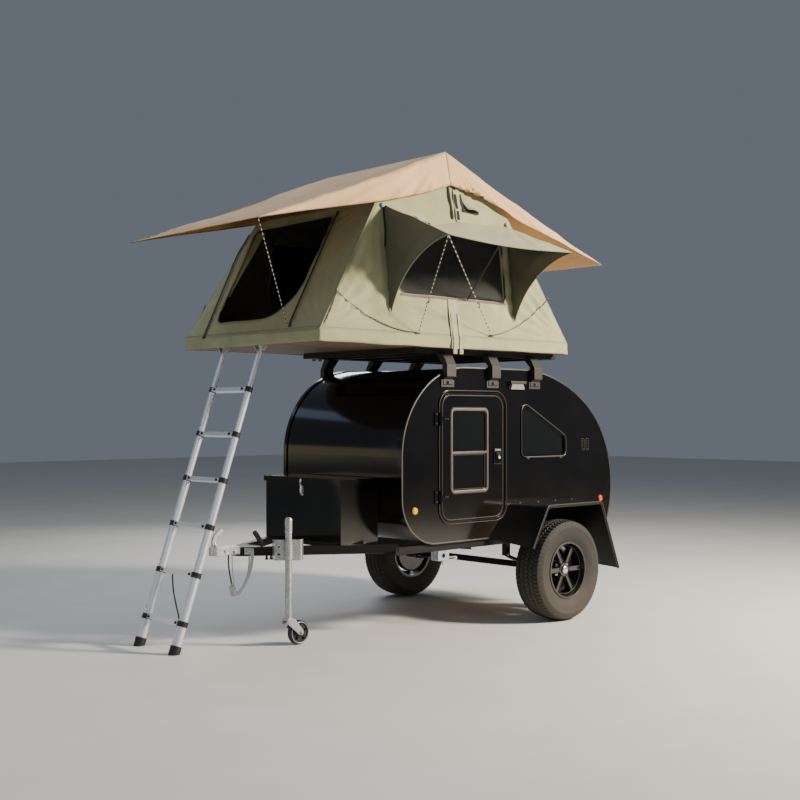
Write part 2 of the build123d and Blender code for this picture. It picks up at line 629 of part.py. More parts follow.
# Roof rack: six cranked legs on the walls and a platform of bars
leg_shape = Polygon(
    (BODY_HALF, 1704),
    (BODY_HALF + 12, 1704),
    (BODY_HALF + 12, 1740),
    (BODY_HALF + 46, 1758),
    (BODY_HALF + 46, 1838),
    (BODY_HALF + 4, RACK_Z[0]),
    (RACK_RAIL_Y - 14, RACK_Z[0]),
    (BODY_HALF, 1846),
    align=None,
)
rack_legs = None
for x in RACK_LEGS_X:
    piece = extrude(Plane.YZ.offset(x - 45) * leg_shape, amount=90, dir=(1, 0, 0))
    foot = panel(x - 63, x + 63, 1686, 1736, 4) - panel(x - 48, x + 48, 1700, 1760, 4)
    piece = piece + slab(foot, BODY_HALF, BODY_HALF + 9)
    piece = piece + bar((x, BODY_HALF + 10, 1720), (x, BODY_HALF + 17, 1720), 8)
    rack_legs = piece if rack_legs is None else rack_legs + piece
parts["rack_legs"] = both_sides(rack_legs - wall_side)
platform = block(*RACK_X, RACK_RAIL_Y - 22, RACK_RAIL_Y + 22, *RACK_Z)
platform = both_sides(platform)
for x in (-237.0, 60.0, 357.0, 654.0, 951.0, 1210.0):
    platform = platform + block(x, x + 40, -RACK_RAIL_Y, RACK_RAIL_Y, *RACK_Z)
parts["rack_platform"] = platform

# Tent base: two boards, a skirt round them, lugs for the ladder
board_half = TENT_HALF - 10
tent_base = block(TENT_X[0] + 10, TENT_MID - 1, -board_half, board_half, TENT_BOTTOM, 2000)
tent_base = tent_base + block(TENT_MID + 1, TENT_X[1] - 10, -board_half, board_half, TENT_BOTTOM, 2000)
tent_base = tent_base + (
    block(*TENT_X, -TENT_HALF, TENT_HALF, TENT_BOTTOM, SKIRT_TOP)
    - block(TENT_X[0] + 10, TENT_X[1] - 10, -TENT_HALF + 10, TENT_HALF - 10, 1900, 2100)
)
px, pz = LADDER_PIVOT
lugs = None
for y in (LADDER_Y - LADDER_HALF, LADDER_Y + LADDER_HALF):
    pair = bar((px, y - 30, pz), (px, y + 30, pz), 6)
    for y0 in (y - 32, y + 24):
        lug_shape = Polygon((px - 34, 1954), (px - 14, 1922), (px + 14, 1922), (px + 34, 1954), align=None)
        pair = pair + slab(lug_shape, y0, y0 + 8)
    lugs = pair if lugs is None else lugs + pair
parts["ladder_lugs"] = lugs
parts["tent_base"] = tent_base

# Tent canvas: a frustum and a ridge, hollow, cut into its cloth walls


def tent_body(t):
    """The canvas outline drawn in by t on every side, open below."""
    rings = (
        (SKIRT_TOP, (TENT_X[1] - TENT_X[0]) / 2 - 1.2 * t, TENT_HALF - t),
        (SHOULDER_Z, SHOULDER_X - 1.2 * t, SHOULDER_HALF - t),
        (TENT_RIDGE_Z - 1.1 * t, 1.0, TENT_RIDGE_HALF - t),
    )
    faces = []
    for z, half_x, half_y in rings:
        faces.append(Plane.XY.offset(z) * Pos(TENT_MID, 0) * Rectangle(2 * half_x, 2 * half_y))
    return loft(faces[:2], ruled=True) + loft(faces[1:], ruled=True)


shell = tent_body(0.0) - tent_body(CANVAS_T)
CANVAS_EDGE = 12.0
low_face = Plane.XY.offset(SKIRT_TOP) * Pos(TENT_MID, 0) * Rectangle(2800, 2 * (TENT_HALF - CANVAS_EDGE))
mid_face = Plane.XY.offset(SHOULDER_Z) * Pos(TENT_MID, 0) * Rectangle(
    2800, 2 * (SHOULDER_HALF - CANVAS_EDGE)
)
top_face = Plane.XY.offset(3300) * Pos(TENT_MID, 0) * Rectangle(
    2800, 2 * (TENT_RIDGE_HALF - CANVAS_EDGE) - 2 * 75 * (SHOULDER_HALF - TENT_RIDGE_HALF) / 315
)
middle = loft([low_face, mid_face], ruled=True) + loft([mid_face, top_face], ruled=True)
doorway = make_face(Polyline(*DOORWAY, close=True))
doorway = fillet(doorway.vertices().filter_by_position(Axis.X, 300, 400), DOORWAY_BIG_R)
doorway = fillet(doorway.vertices().filter_by_position(Axis.X, -700, -400), DOORWAY_R)
door_hole = extrude(Plane.YZ.offset(1500) * doorway, amount=900, dir=(1, 0, 0))
front = shell & middle & block(TENT_MID, 2400, -800, 800, 2000, SHOULDER_Z)
parts["tent_front_wall"] = front - door_hole
parts["tent_rear_wall"] = shell & middle & block(-400, TENT_MID, -800, 800, 2000, SHOULDER_Z)
parts["tent_roof"] = shell & middle & block(-400, 2400, -800, 800, SHOULDER_Z, 3300)
SCREEN_X = (444.0, 1501.0)
SCREEN_Z = (2294.0, 2760.0)
screen_hole = slab(panel(*SCREEN_X, *SCREEN_Z, 60), 600, 800)
side_cloth = (shell - middle) & block(-400, 2400, 0, 800, 2000, 3300)
parts["tent_gable_left"] = side_cloth - screen_hole
parts["tent_gable_right"] = mirror(side_cloth - screen_hole, Plane.XZ)
parts["window_screens"] = both_sides(side_cloth & screen_hole)

# Tent poles: three hoops from the middle hinge, two short posts, fly bars
POLE_Y = 700.0
poles = None
for x, z, y in ((TENT_MID - 605, 2880, 625), (TENT_MID, 3188, 590), (TENT_MID + 605, 2880, 625)):
    hoop = bar((x, -y, z), (x, y, z), 10)
    foot_x = TENT_MID + (x - TENT_MID) * 0.08
    for side in (-1, 1):
        hoop = hoop + bar((foot_x, side * POLE_Y, 1998), (x, side * y, z), 10)
        hoop = hoop + Pos(x, side * y, z) * Sphere(10)
    poles = hoop if poles is None else poles + hoop
parts["tent_poles"] = poles - tent_base

# Fly: two slopes and a valance at each gable end, bars under ridge and eaves
# lower edge of the valance: distance from the ridge and height, from the eave inwards
VALANCE_LOW = {
    1: ((1276.0, 2750.0), (929.0, 2824.0), (585.0, 2901.0), (248.0, 2994.0), (0.0, 3085.0)),
    -1: ((1160.0, 2790.0), (737.0, 2901.0), (359.0, 3022.0), (0.0, 3085.0)),
}


def sheet(points, push):
    """A flat cloth panel through the points, given thickness by push."""
    face = make_face(Polyline(*points, close=True))
    return extrude(face, amount=push.length, dir=push.normalized())


def fly_slope(side):
    """One slope of the fly, front for side 1 and rear for side -1."""
    edge_x = TENT_MID + side * FLY_EAVE_X
    return sheet(
        [
            (TENT_MID, FLY_RIDGE_HALF, FLY_RIDGE_Z),
            (TENT_MID, -FLY_RIDGE_HALF, FLY_RIDGE_Z),
            (edge_x, -FLY_EAVE_HALF, FLY_EAVE_Z),
            (edge_x, FLY_EAVE_HALF, FLY_EAVE_Z),
        ],
        Vector(0, 0, -FLY_T),
    )


def fly_valance(side):
    """The hanging edge of one slope at the left gable end."""
    points = [(TENT_MID, FLY_RIDGE_Z - 1), (TENT_MID + side * FLY_EAVE_X, FLY_EAVE_Z - 1)]
    points = points + [(TENT_MID + side * x, z) for x, z in VALANCE_LOW[side]]
    spots = []
    for x, z in points:
        out = abs(x - TENT_MID) / FLY_EAVE_X
        spots.append((x, FLY_RIDGE_HALF + (FLY_EAVE_HALF - FLY_RIDGE_HALF) * out, z))
    return sheet(spots, Vector(0, -FLY_T, 0))


fly = fly_slope(1) + fly_slope(-1)
fly = fly + both_sides(fly_valance(1) + fly_valance(-1))
parts["tent_fly"] = fly
fly_bars = bar((TENT_MID, -600, 3286), (TENT_MID, 600, 3286), 10)
for y in (-500.0, 500.0):
    fly_bars = fly_bars + bar((TENT_MID, y, TENT_RIDGE_Z), (TENT_MID, y, 3286), 8)
parts["tent_poles"] = parts["tent_poles"] + fly_bars

# Window awnings on both sides: a roof panel and two pointed cheeks
AWNING_T = 8.0
roof_panel = sheet(
    [
        (AWNING_X[0], SHOULDER_HALF + 4, AWNING_TOP_Z),
        (AWNING_X[1], SHOULDER_HALF + 4, AWNING_TOP_Z),
        (AWNING_X[1], AWNING_EDGE_Y, AWNING_EDGE_Z),
        (AWNING_X[0], AWNING_EDGE_Y, AWNING_EDGE_Z),
    ],
    Vector(0, 0, -AWNING_T),
)
awning = roof_panel
for x, push in ((AWNING_X[0], AWNING_T), (AWNING_X[1], -AWNING_T)):
    root = (x, SHOULDER_HALF + 4, AWNING_TOP_Z - 1)
    tip = (x, AWNING_EDGE_Y, AWNING_EDGE_Z - 1)
    point = (x, 724, 2165)
    rim = ThreePointArc(tip, (x, 937, 2471), point)
    cheek_face = make_face(Line(root, tip) + rim + Line(point, root))
    awning = awning + extrude(cheek_face, amount=AWNING_T, dir=(1 if push > 0 else -1, 0, 0))
cover = (tent_body(-8.0) - tent_body(0.0)) & block(*AWNING_X, -800, 0, 2165, 2863)
parts["side_awnings"] = (awning - tent_body(0.0)) + cover

# Ladder, drawn upright in its own frame and leaned back to the pivot
lean = degrees(atan2(LADDER_FOOT_X - LADDER_PIVOT[0], LADDER_PIVOT[1]))
rail_len = hypot(LADDER_FOOT_X - LADDER_PIVOT[0], LADDER_PIVOT[1])
ladder_place = Pos(LADDER_FOOT_X, LADDER_Y, 0) * Rot(0, -lean, 0)
stations = [(RUNG_FIRST_Z + k * RUNG_STEP_Z) / cos(radians(lean)) for k in range(RUNG_COUNT)]
limits = [-20.0] + stations + [rail_len - 24]
low = (Align.CENTER, Align.CENTER, Align.MIN)
rails = None
fittings = None
for side in (-1, 1):
    y = side * LADDER_HALF
    rail = None
    for a, b, r in zip(limits, limits[1:], RAIL_RADII):
        tube = Pos(0, y, a) * Cylinder(r, b - a, align=low)
        rail = tube if rail is None else rail + tube
    rail = rail + block(-9, 9, y - 9, y + 9, rail_len - 30, rail_len + 9)
    rail = rail - bar((0, y - 20, rail_len), (0, y + 20, rail_len), 6.06)
    rail = rail - block(-60, 60, y - 60, y + 60, -60, 52)
    rails = rail if rails is None else rails + rail
    foot = Pos(0, y, -30) * Cylinder(36, 82, align=low)
    fittings = foot if fittings is None else fittings + foot
    for s, r in zip(stations, RAIL_RADII):
        collar = Pos(0, y, s - 17) * Cylinder(r + 5, 34, align=low) - rail
        fittings = fittings + collar
rungs = None
for s, r in zip(stations, RAIL_RADII):
    rung = block(-21, 21, -LADDER_HALF, LADDER_HALF, s - 13, s + 13) - fittings - rails
    rungs = rung if rungs is None else rungs + rung
ground_cut = block(2400, 3200, -700, 700, -200, 0)
parts["ladder_rails"] = ladder_place * rails - ground_cut
parts["ladder_rungs"] = ladder_place * rungs
parts["ladder_fittings"] = ladder_place * fittings - ground_cut

# Cords at the coupler: electric cable with its plug, and a safety cable
CORD_R = 5.0


def cord(points, r):
    """A tube of radius r along straight runs joined by tangent arcs."""
    pts = [Vector(*p) for p in points]
    radii = []
    for a, b, c in zip(pts, pts[1:], pts[2:]):
        turn = radians((b - a).get_angle(c - b))
        radii.append(0.45 * min((b - a).length, (c - b).length) / tan(turn / 2))
    path = FilletPolyline(*pts, radius=radii)
    start = Plane(origin=pts[0], z_dir=pts[1] - pts[0])
    print("cord length", round(path.length), "radii", [round(v) for v in radii])
    tube = sweep(start * Circle(r), path=path)
    print("volume ratio", round(tube.volume / (3.14159265 * r * r * path.length), 3))
    return tube


parts["tow_cable"] = cord(
    [(2352, 0, 590), (2352, 0, 538), (2350, 4, 488), (2341, 5, 444), (2330, 5, 400)], CORD_R
)
plug_line = Vector(-11, 0, -44).normalized()
plug_top = Vector(2330, 5, 400)
plug = Plane(origin=plug_top, z_dir=plug_line) * Cylinder(11, 20, align=low)
plug = plug + Plane(origin=plug_top + plug_line * 20, z_dir=plug_line) * Cylinder(21, 62, align=low)
parts["tow_plug"] = plug
parts["safety_cable"] = cord(
    [
        (2232, 62, 584),
        (2232, 62, 530),
        (2238, 62, 480),
        (2252, 60, 430),
        (2268, 57, 385),
        (2286, 53, 350),
        (2304, 50, 338),
        (2320, 46, 348),
        (2328, 42, 376),
        (2332, 34, 424),
        (2336, 26, 480),
        (2338, 22, 534),
        (2338, 22, 590),
    ],
    4.0,
)
parts["ladder_strap"] = cord(
    [
        (2606, -262, 458),
        (2606, -262, 400),
        (2600, -256, 330),
        (2588, -244, 250),
        (2574, -232, 170),
        (2562, -222, 90),
    ],
    5.0,
)
os.makedirs("parts", exist_ok=True)
for name, shape in parts.items():
    export_step(Pos(AXLE_X, AXLE_Y, 0) * shape, "parts/" + name + ".step")
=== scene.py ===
import json
from math import atan2, cos, exp, hypot, pi, radians, sin, sqrt
import bmesh
import bpy
from mathutils import Matrix, Vector, geometry, noise


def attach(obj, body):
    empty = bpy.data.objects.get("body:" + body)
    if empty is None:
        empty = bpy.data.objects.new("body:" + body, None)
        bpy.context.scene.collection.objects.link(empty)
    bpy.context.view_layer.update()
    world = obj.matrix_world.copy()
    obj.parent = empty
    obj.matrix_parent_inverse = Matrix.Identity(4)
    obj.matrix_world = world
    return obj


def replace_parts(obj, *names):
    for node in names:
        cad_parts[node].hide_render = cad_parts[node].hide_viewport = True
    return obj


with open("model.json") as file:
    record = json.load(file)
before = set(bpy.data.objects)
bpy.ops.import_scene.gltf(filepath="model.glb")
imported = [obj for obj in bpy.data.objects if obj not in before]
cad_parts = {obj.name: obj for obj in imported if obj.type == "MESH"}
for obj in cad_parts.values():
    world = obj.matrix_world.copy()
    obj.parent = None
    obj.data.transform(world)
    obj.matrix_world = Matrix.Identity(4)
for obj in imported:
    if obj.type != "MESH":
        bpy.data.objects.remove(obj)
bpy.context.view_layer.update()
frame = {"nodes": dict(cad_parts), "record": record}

# Drawing lengths are millimetres measured from the axle, as in the part's source
AXLE_X = -968.0
AXLE_Y = -148.0
CAMERA_PLACE = (6885.0, 6429.0, 1490.0)
CAMERA_TURN = 136.68
CAMERA_PITCH = 0.74
CAMERA_LENS = 53.946

SIDES = ((1, "left"), (-1, "right"))
ENDS = ((1, "front"), (-1, "rear"))
HALF_TRACK = 815.0
TYRE_R = 366.0
BODY_HALF = 634.0

TENT_MID = 994.0
TENT_X = (-209.0, 2197.0)
TENT_HALF = 738.0
SKIRT_TOP = 2024.0
SHOULDER_X = 640.0
SHOULDER_HALF = 645.0
SHOULDER_Z = 2910.0
RIDGE_Z = 3225.0
RIDGE_HALF = 612.0
# Length of the end walls up their slope, and the direction that they face as X and height
WALL_SLOPE = 1050.0
WALL_OUT = (0.844, 0.536)
FLY_RIDGE_Z = 3311.0
FLY_RIDGE_HALF = 639.0
FLY_EAVE_X = 1656.0
FLY_EAVE_Z = 2664.0
FLY_EAVE_HALF = 719.0
FLY_SLOPE = 1778.0
AWNING_X = (373.0, 1586.0)
AWNING_EDGE = (1250.0, 2612.0)
AWNING_TOP_Z = 2863.0
AWNING_LOW_Z = 2165.0
AWNING_DEPTH = 651.0
# Where the guys of the awning meet the skirt, as X and height
GUY_FEET = ((1361.0, 2037.0), (640.0, 2050.0))

# Lower edge of the fly's hanging edges, as distance from the ridge and height
VALANCE_LOW = {
    1: (
        (0.0, 3085.0), (248.0, 2994.0), (585.0, 2901.0), (929.0, 2824.0), (1276.0, 2750.0),
        (FLY_EAVE_X, 2662.0),
    ),
    -1: ((0.0, 3085.0), (359.0, 3022.0), (737.0, 2901.0), (1160.0, 2790.0), (FLY_EAVE_X, 2662.0)),
}
# How far the middle of the fly's edges hangs back towards the rear
PEAK_DRIFT = 42.0
# Where the awning is sewn to the gable, as X and height
AWNING_ROOT = (
    (AWNING_X[0], 2851.0), (893.0, 2829.0), (1133.0, 2784.0), (1392.0, 2818.0), (AWNING_X[1], 2872.0),
)
# Three points of the free edge of an awning's cheek, as distance from the middle and height
CHEEK_RIM = (AWNING_EDGE, (937.0, 2471.0), (729.0, AWNING_LOW_Z))


def at(x, y, z):
    """A point in millimetres from the axle, in metres in the shared frame."""
    return Vector(((x + AXLE_X) / 1000, (y + AXLE_Y) / 1000, z / 1000))


def between(a, b, share):
    """The value a share of the way from a to b."""
    return a + (b - a) * share


def clamp(value):
    return max(0.0, min(1.0, value))


# Materials

PAINT = {}


class Paint:
    """A principled material with helpers that add its grain, bumps and colour variation."""

    def __init__(
        self, name, color, rough=0.5, metal=0.0, coat=0.0, alpha=1.0, through=0.0, sheen=0.0, ior=1.5
    ):
        material = bpy.data.materials.new(name)
        material.use_nodes = True
        self.tree = material.node_tree
        self.shader = self.tree.nodes["Principled BSDF"]
        self.feed(self.shader, {
            "Base Color": (*color, 1.0),
            "Roughness": rough,
            "Metallic": metal,
            "Coat Weight": coat,
            "Coat Roughness": 0.08,
            "Alpha": alpha,
            "Transmission Weight": through,
            "Sheen Weight": sheen,
            "IOR": ior,
        })
        self.color = color
        self.last_bump = None
        self.place = self.add("TexCoord").outputs["Object"]
        PAINT[name] = material

    def feed(self, node, values):
        """Gives inputs of a node, by name or number, their values or links from other nodes."""
        for key, value in values.items():
            if isinstance(value, bpy.types.NodeSocket):
                self.tree.links.new(value, node.inputs[key])
            else:
                node.inputs[key].default_value = value
        return self

    def add(self, kind, values=None, **settings):
        node = self.tree.nodes.new("ShaderNode" + kind)
        for key, value in settings.items():
            setattr(node, key, value)
        self.feed(node, values or {})
        return node

    def noise(self, scale, detail=3.0, stretch=(1, 1, 1)):
        place = self.add("Mapping", {"Scale": stretch, "Vector": self.place}).outputs["Vector"]
        return self.add("TexNoise", {"Scale": scale, "Detail": detail, "Vector": place}).outputs["Fac"]

    def cells(self, scale):
        return self.add("TexVoronoi", {"Scale": scale, "Vector": self.place}).outputs

    def bands(self, scale, axis):
        values = {"Scale": scale, "Vector": self.place}
        return self.add("TexWave", values, bands_direction=axis).outputs["Fac"]

    def colors(self, fac, *stops):
        """Runs the base colour between two stops, each a place along fac and a colour."""
        node = self.add("ValToRGB", {"Fac": fac})
        for stop, (spot, color) in zip(node.color_ramp.elements, stops):
            stop.position = spot
            stop.color = (*color, 1.0)
        return self.feed(self.shader, {"Base Color": node.outputs["Color"]})

    def worn(self, scale, detail, low, high, stretch=(1, 1, 1)):
        """Roughness that a noise moves between low and high."""
        fac = self.noise(scale, detail, stretch)
        node = self.add("MapRange", {"To Min": low, "To Max": high, "Value": fac})
        return self.feed(self.shader, {"Roughness": node.outputs[0]})

    def bump(self, fac, strength, distance):
        node = self.add("Bump", {"Strength": strength, "Distance": distance, "Height": fac})
        if self.last_bump is not None:
            self.feed(node, {"Normal": self.last_bump})
        self.last_bump = node.outputs["Normal"]
        return self.feed(self.shader, {"Normal": self.last_bump})

    def grain(self, scale, detail, strength, distance, stretch=(1, 1, 1)):
        return self.bump(self.noise(scale, detail, stretch), strength, distance)

    def ribs(self, scale, axis, strength, distance):
        return self.bump(self.bands(scale, axis), strength, distance)

    def weave(self, scale, strength, distance):
        for axis in ("X", "Y", "Z"):
            self.ribs(scale, axis, strength, distance)
        return self

    def edges(self, radius):
        """Lets hard edges catch the light as if rounded by radius millimetres."""
        self.last_bump = self.add("Bevel", {"Radius": radius / 1000}, samples=4).outputs["Normal"]
        return self.feed(self.shader, {"Normal": self.last_bump})

    def dusty(self, dust, low, high, patch=7.0):
        """The colour above, and dust that creeps up from the ground in patches; heights in metres."""
        height = self.add("SeparateXYZ", {0: self.place}).outputs["Z"]
        level = self.add("MapRange", {"From Min": low, "From Max": high, "Value": height})
        shift = self.add("MapRange", {"To Min": -0.35, "To Max": 0.35, "Value": self.noise(patch, 5.0)})
        joined = {0: level.outputs[0], 1: shift.outputs[0]}
        join = self.add("Math", joined, operation="ADD", use_clamp=True)
        mixed = {"A": (*dust, 1.0), "B": (*self.color, 1.0), "Factor": join.outputs[0]}
        mix = self.add("Mix", mixed, data_type="RGBA")
        return self.feed(self.shader, {"Base Color": mix.outputs["Result"]})


def shade(color, k):
    return tuple(min(1.0, c * k) for c in color)


def paint_metals():
    p = Paint("black_paint", (0.0030, 0.0030, 0.0034), rough=0.17, coat=0.12, ior=1.42).edges(3.0)
    p.dusty((0.0115, 0.0090, 0.0052), 0.45, 1.10).worn(3.0, 6.0, 0.07, 0.20).grain(260.0, 2.0, 0.05, 0.0004)

    p = Paint("chassis_black", (0.0055, 0.0055, 0.0055), rough=0.42, ior=1.35).edges(2.5)
    p.dusty((0.010, 0.0085, 0.0065), 0.30, 0.64, 12.0).worn(20.0, 5.0, 0.38, 0.62)
    p.grain(900.0, 3.0, 0.25, 0.0005)

    p = Paint("zinc", (0.50, 0.51, 0.52), rough=0.42, metal=1.0).edges(1.5)
    p.colors(p.cells(85.0)["Color"], (0.0, (0.38, 0.39, 0.40)), (1.0, (0.62, 0.63, 0.64)))
    p.worn(30.0, 6.0, 0.32, 0.58).grain(140.0, 4.0, 0.15, 0.0006)

    p = Paint("rim_black", (0.010, 0.010, 0.011), rough=0.2, coat=0.5)
    p.dusty((0.019, 0.017, 0.015), 0.10, 0.42, 16.0).worn(25.0, 5.0, 0.14, 0.34)
    p.grain(400.0, 2.0, 0.06, 0.0004)

    p = Paint("window_trim", (0.26, 0.215, 0.195), rough=0.3, metal=1.0).edges(4.0)
    p.worn(60.0, 4.0, 0.24, 0.42).grain(700.0, 2.0, 0.06, 0.0003, (1, 1, 0.06))

    p = Paint("ladder_alloy", (0.84, 0.86, 0.93), rough=0.34, metal=0.55)
    p.worn(35.0, 5.0, 0.22, 0.42, (1, 1, 0.08)).grain(900.0, 2.0, 0.10, 0.0003, (1, 1, 0.03))

    Paint("bright_steel", (0.72, 0.72, 0.73), rough=0.24, metal=1.0).worn(80.0, 4.0, 0.16, 0.36)
    Paint("edge_metal", (0.15, 0.14, 0.135), rough=0.34, metal=1.0).edges(4.0).worn(50.0, 4.0, 0.26, 0.46)

    for name, color, rough, metal, low in (
        ("rack_grey", (0.046, 0.040, 0.037), 0.40, 0.35, 0.34),
        ("rack_dark", (0.024, 0.021, 0.021), 0.42, 0.2, 0.36),
    ):
        p = Paint(name, color, rough=rough, metal=metal).edges(3.0)
        p.worn(40.0, 5.0, low, 0.56).grain(600.0, 3.0, 0.15, 0.0004)


def paint_plastics():
    p = Paint("rubber_black", (0.022, 0.020, 0.018), rough=0.78)
    p.dusty((0.054, 0.046, 0.036), -0.05, 0.55, 9.0).grain(500.0, 4.0, 0.25, 0.0006)

    p = Paint("tinted_glass", (0.012, 0.013, 0.014), rough=0.03, coat=0.15, through=0.55, ior=1.42)
    p.worn(6.0, 3.0, 0.02, 0.07)

    p = Paint("lens_amber", (0.95, 0.42, 0.004), rough=0.16, coat=0.6)
    p.bump(p.cells(230.0)["Distance"], 0.25, 0.0012).feed(p.shader, {"Subsurface Weight": 0.2})

    p = Paint("lens_red", (0.74, 0.035, 0.008), rough=0.16, coat=0.6)
    p.bump(p.cells(230.0)["Distance"], 0.25, 0.0012)

    Paint("lens_dark", (0.27, 0.235, 0.215), rough=0.24, coat=0.5).ribs(60.0, "X", 0.3, 0.002)

    p = Paint("plastic_black", (0.014, 0.014, 0.015), rough=0.48)
    p.grain(700.0, 3.0, 0.25, 0.0004).worn(30.0, 4.0, 0.40, 0.58)

    Paint("plug_grey", (0.40, 0.41, 0.42), rough=0.55).grain(500.0, 3.0, 0.2, 0.0005)
    Paint("caster_black", (0.018, 0.018, 0.018), rough=0.65).grain(500.0, 3.0, 0.2, 0.0006)
    Paint("rubber_seal", (0.010, 0.010, 0.010), rough=0.66).grain(300.0, 3.0, 0.15, 0.0005)


def paint_boards():
    p = Paint("wood_panel", (0.42, 0.27, 0.14), rough=0.45, coat=0.15)
    grain = p.noise(9.0, 8.0, (1.0, 12.0, 1.0))
    p.colors(grain, (0.3, (0.30, 0.18, 0.085)), (0.7, (0.52, 0.35, 0.19))).bump(grain, 0.12, 0.001)

    p = Paint("tent_board", (0.16, 0.11, 0.07), rough=0.62).edges(2.0)
    p.colors(p.noise(5.0, 6.0, (1, 5, 1)), (0.3, (0.11, 0.075, 0.045)), (0.7, (0.19, 0.13, 0.08)))
    p.grain(220.0, 3.0, 0.12, 0.0006)


def paint_cloths():
    p = Paint("bedding", (0.55, 0.54, 0.50), rough=0.9, sheen=0.3)
    p.colors(p.noise(14.0, 5.0), (0.3, (0.46, 0.45, 0.42)), (0.7, (0.62, 0.61, 0.57)))
    p.weave(340.0, 0.25, 0.0006)

    canvas = (0.350, 0.350, 0.190)
    # The second canvas is the canvas darkened to 0.30: painted shade for the walls' inner faces, the awning
    # roof's underside and the awning's cheeks.
    for name, color in (("canvas_green", canvas), ("canvas_lining", shade(canvas, 0.30))):
        p = Paint(name, color, rough=0.86, sheen=0.25)
        p.colors(p.noise(3.5, 8.0), (0.32, shade(color, 0.86)), (0.68, shade(color, 1.10)))
        p.weave(420.0, 0.22, 0.0005).grain(60.0, 5.0, 0.12, 0.002)
    Paint("canvas_seam", shade(canvas, 0.62), rough=0.88, sheen=0.2).ribs(260.0, "DIAGONAL", 0.4, 0.0006)

    tan = (0.64, 0.405, 0.200)
    # The second tan is darker and more orange: painted shade, with painted light shining through the cloth, for
    # the fly's underside.
    for name, color in (("fly_tan", tan), ("fly_under", (0.52, 0.27, 0.080))):
        p = Paint(name, color, rough=0.72, sheen=0.2)
        p.colors(p.noise(2.6, 8.0), (0.32, shade(color, 0.88)), (0.68, shade(color, 1.08)))
        p.weave(520.0, 0.16, 0.0004).grain(40.0, 5.0, 0.14, 0.003)
    Paint("fly_binding", shade(tan, 0.34), rough=0.8).ribs(240.0, "DIAGONAL", 0.4, 0.0006)

    Paint("mesh_dark", (0.018, 0.017, 0.016), rough=0.8, alpha=0.74).weave(600.0, 0.35, 0.0005)
    Paint("strap_tan", (0.44, 0.39, 0.26), rough=0.8).weave(300.0, 0.4, 0.0008)
    Paint("strap_black", (0.016, 0.015, 0.014), rough=0.82).weave(330.0, 0.4, 0.0006)
    Paint("sill_mauve", (0.165, 0.125, 0.115), rough=0.8).weave(300.0, 0.3, 0.0006)
    Paint("zip_black", (0.012, 0.012, 0.011), rough=0.62).ribs(300.0, "Z", 0.8, 0.001)


def paint_cords():
    Paint("cord_black", (0.012, 0.012, 0.012), rough=0.55).grain(600.0, 2.0, 0.2, 0.0004)
    Paint("cord_grey", (0.34, 0.34, 0.34), rough=0.4, metal=0.5).ribs(420.0, "DIAGONAL", 0.5, 0.0006)

    p = Paint("cord_flecked", (0.52, 0.47, 0.36), rough=0.8)
    p.colors(p.bands(13.0, "Z"), (0.45, (0.014, 0.013, 0.012)), (0.55, (0.66, 0.61, 0.50)))

    p = Paint("cord_dark", (0.03, 0.027, 0.022), rough=0.8)
    p.colors(p.bands(11.0, "X"), (0.74, (0.016, 0.015, 0.013)), (0.84, (0.24, 0.21, 0.15)))


# Mesh helpers


def add_piece(name, data, look, body, smooth):
    """A new piece in its finish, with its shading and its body."""
    data.materials.append(PAINT[look])
    obj = bpy.data.objects.new(name, data)
    bpy.context.scene.collection.objects.link(obj)
    if smooth:
        for face in data.polygons:
            face.use_smooth = True
    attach(obj, body)
    return obj


def mesh_piece(name, verts, faces, look, body="trailer", smooth=True):
    """A piece from points in drawing millimetres."""
    data = bpy.data.meshes.new(name)
    data.from_pydata([at(*v) for v in verts], [], faces)
    data.validate()
    return add_piece(name, data, look, body, smooth)


def from_bmesh(name, bm, look, body="trailer", smooth=True):
    data = bpy.data.meshes.new(name)
    bmesh.ops.recalc_face_normals(bm, faces=bm.faces)
    bm.to_mesh(data)
    bm.free()
    return add_piece(name, data, look, body, smooth)


def lines_piece(name, lines, radius, look, body="trailer", curved=False, round_steps=3):
    """Thin round bars or cords along lines of points, straight from one to the next or curved."""
    data = bpy.data.curves.new(name, "CURVE")
    data.dimensions = "3D"
    data.bevel_depth = radius / 1000
    data.bevel_resolution = round_steps
    data.use_fill_caps = True
    for line in lines:
        spline = data.splines.new("NURBS" if curved else "POLY")
        spline.points.add(len(line) - 1)
        for point, spot in zip(spline.points, line):
            point.co = (*at(*spot), 1.0)
        if spline.type == "NURBS":
            spline.order_u = 3
            spline.use_endpoint_u = True
    return add_piece(name, data, look, body, False)


def soften(obj, width):
    """Rounds a piece's hard edges by width millimetres."""
    m = obj.modifiers.new("edge", "BEVEL")
    m.width = width / 1000
    m.segments = 2
    m.limit_method = "ANGLE"
    m.angle_limit = radians(35)
    m.harden_normals = False
    return obj


def blocks(name, boxes, look, body="trailer", soft=0.0):
    """A piece of boxes, each (x0, x1, y0, y1, z0, z1), with its edges rounded by soft millimetres."""
    bm = bmesh.new()
    for x0, x1, y0, y1, z0, z1 in boxes:
        verts = [bm.verts.new(at(x, y, z)) for x in (x0, x1) for y in (y0, y1) for z in (z0, z1)]
        for quad in ((0, 1, 3, 2), (4, 6, 7, 5), (0, 4, 5, 1), (2, 3, 7, 6), (0, 2, 6, 4), (1, 5, 7, 3)):
            bm.faces.new([verts[k] for k in quad])
    obj = from_bmesh(name, bm, look, body, smooth=False)
    return soften(obj, soft) if soft else obj


def span(side, a, b):
    """The Y range from a to b on one side of the middle, its low end first."""
    return sorted((side * a, side * b))


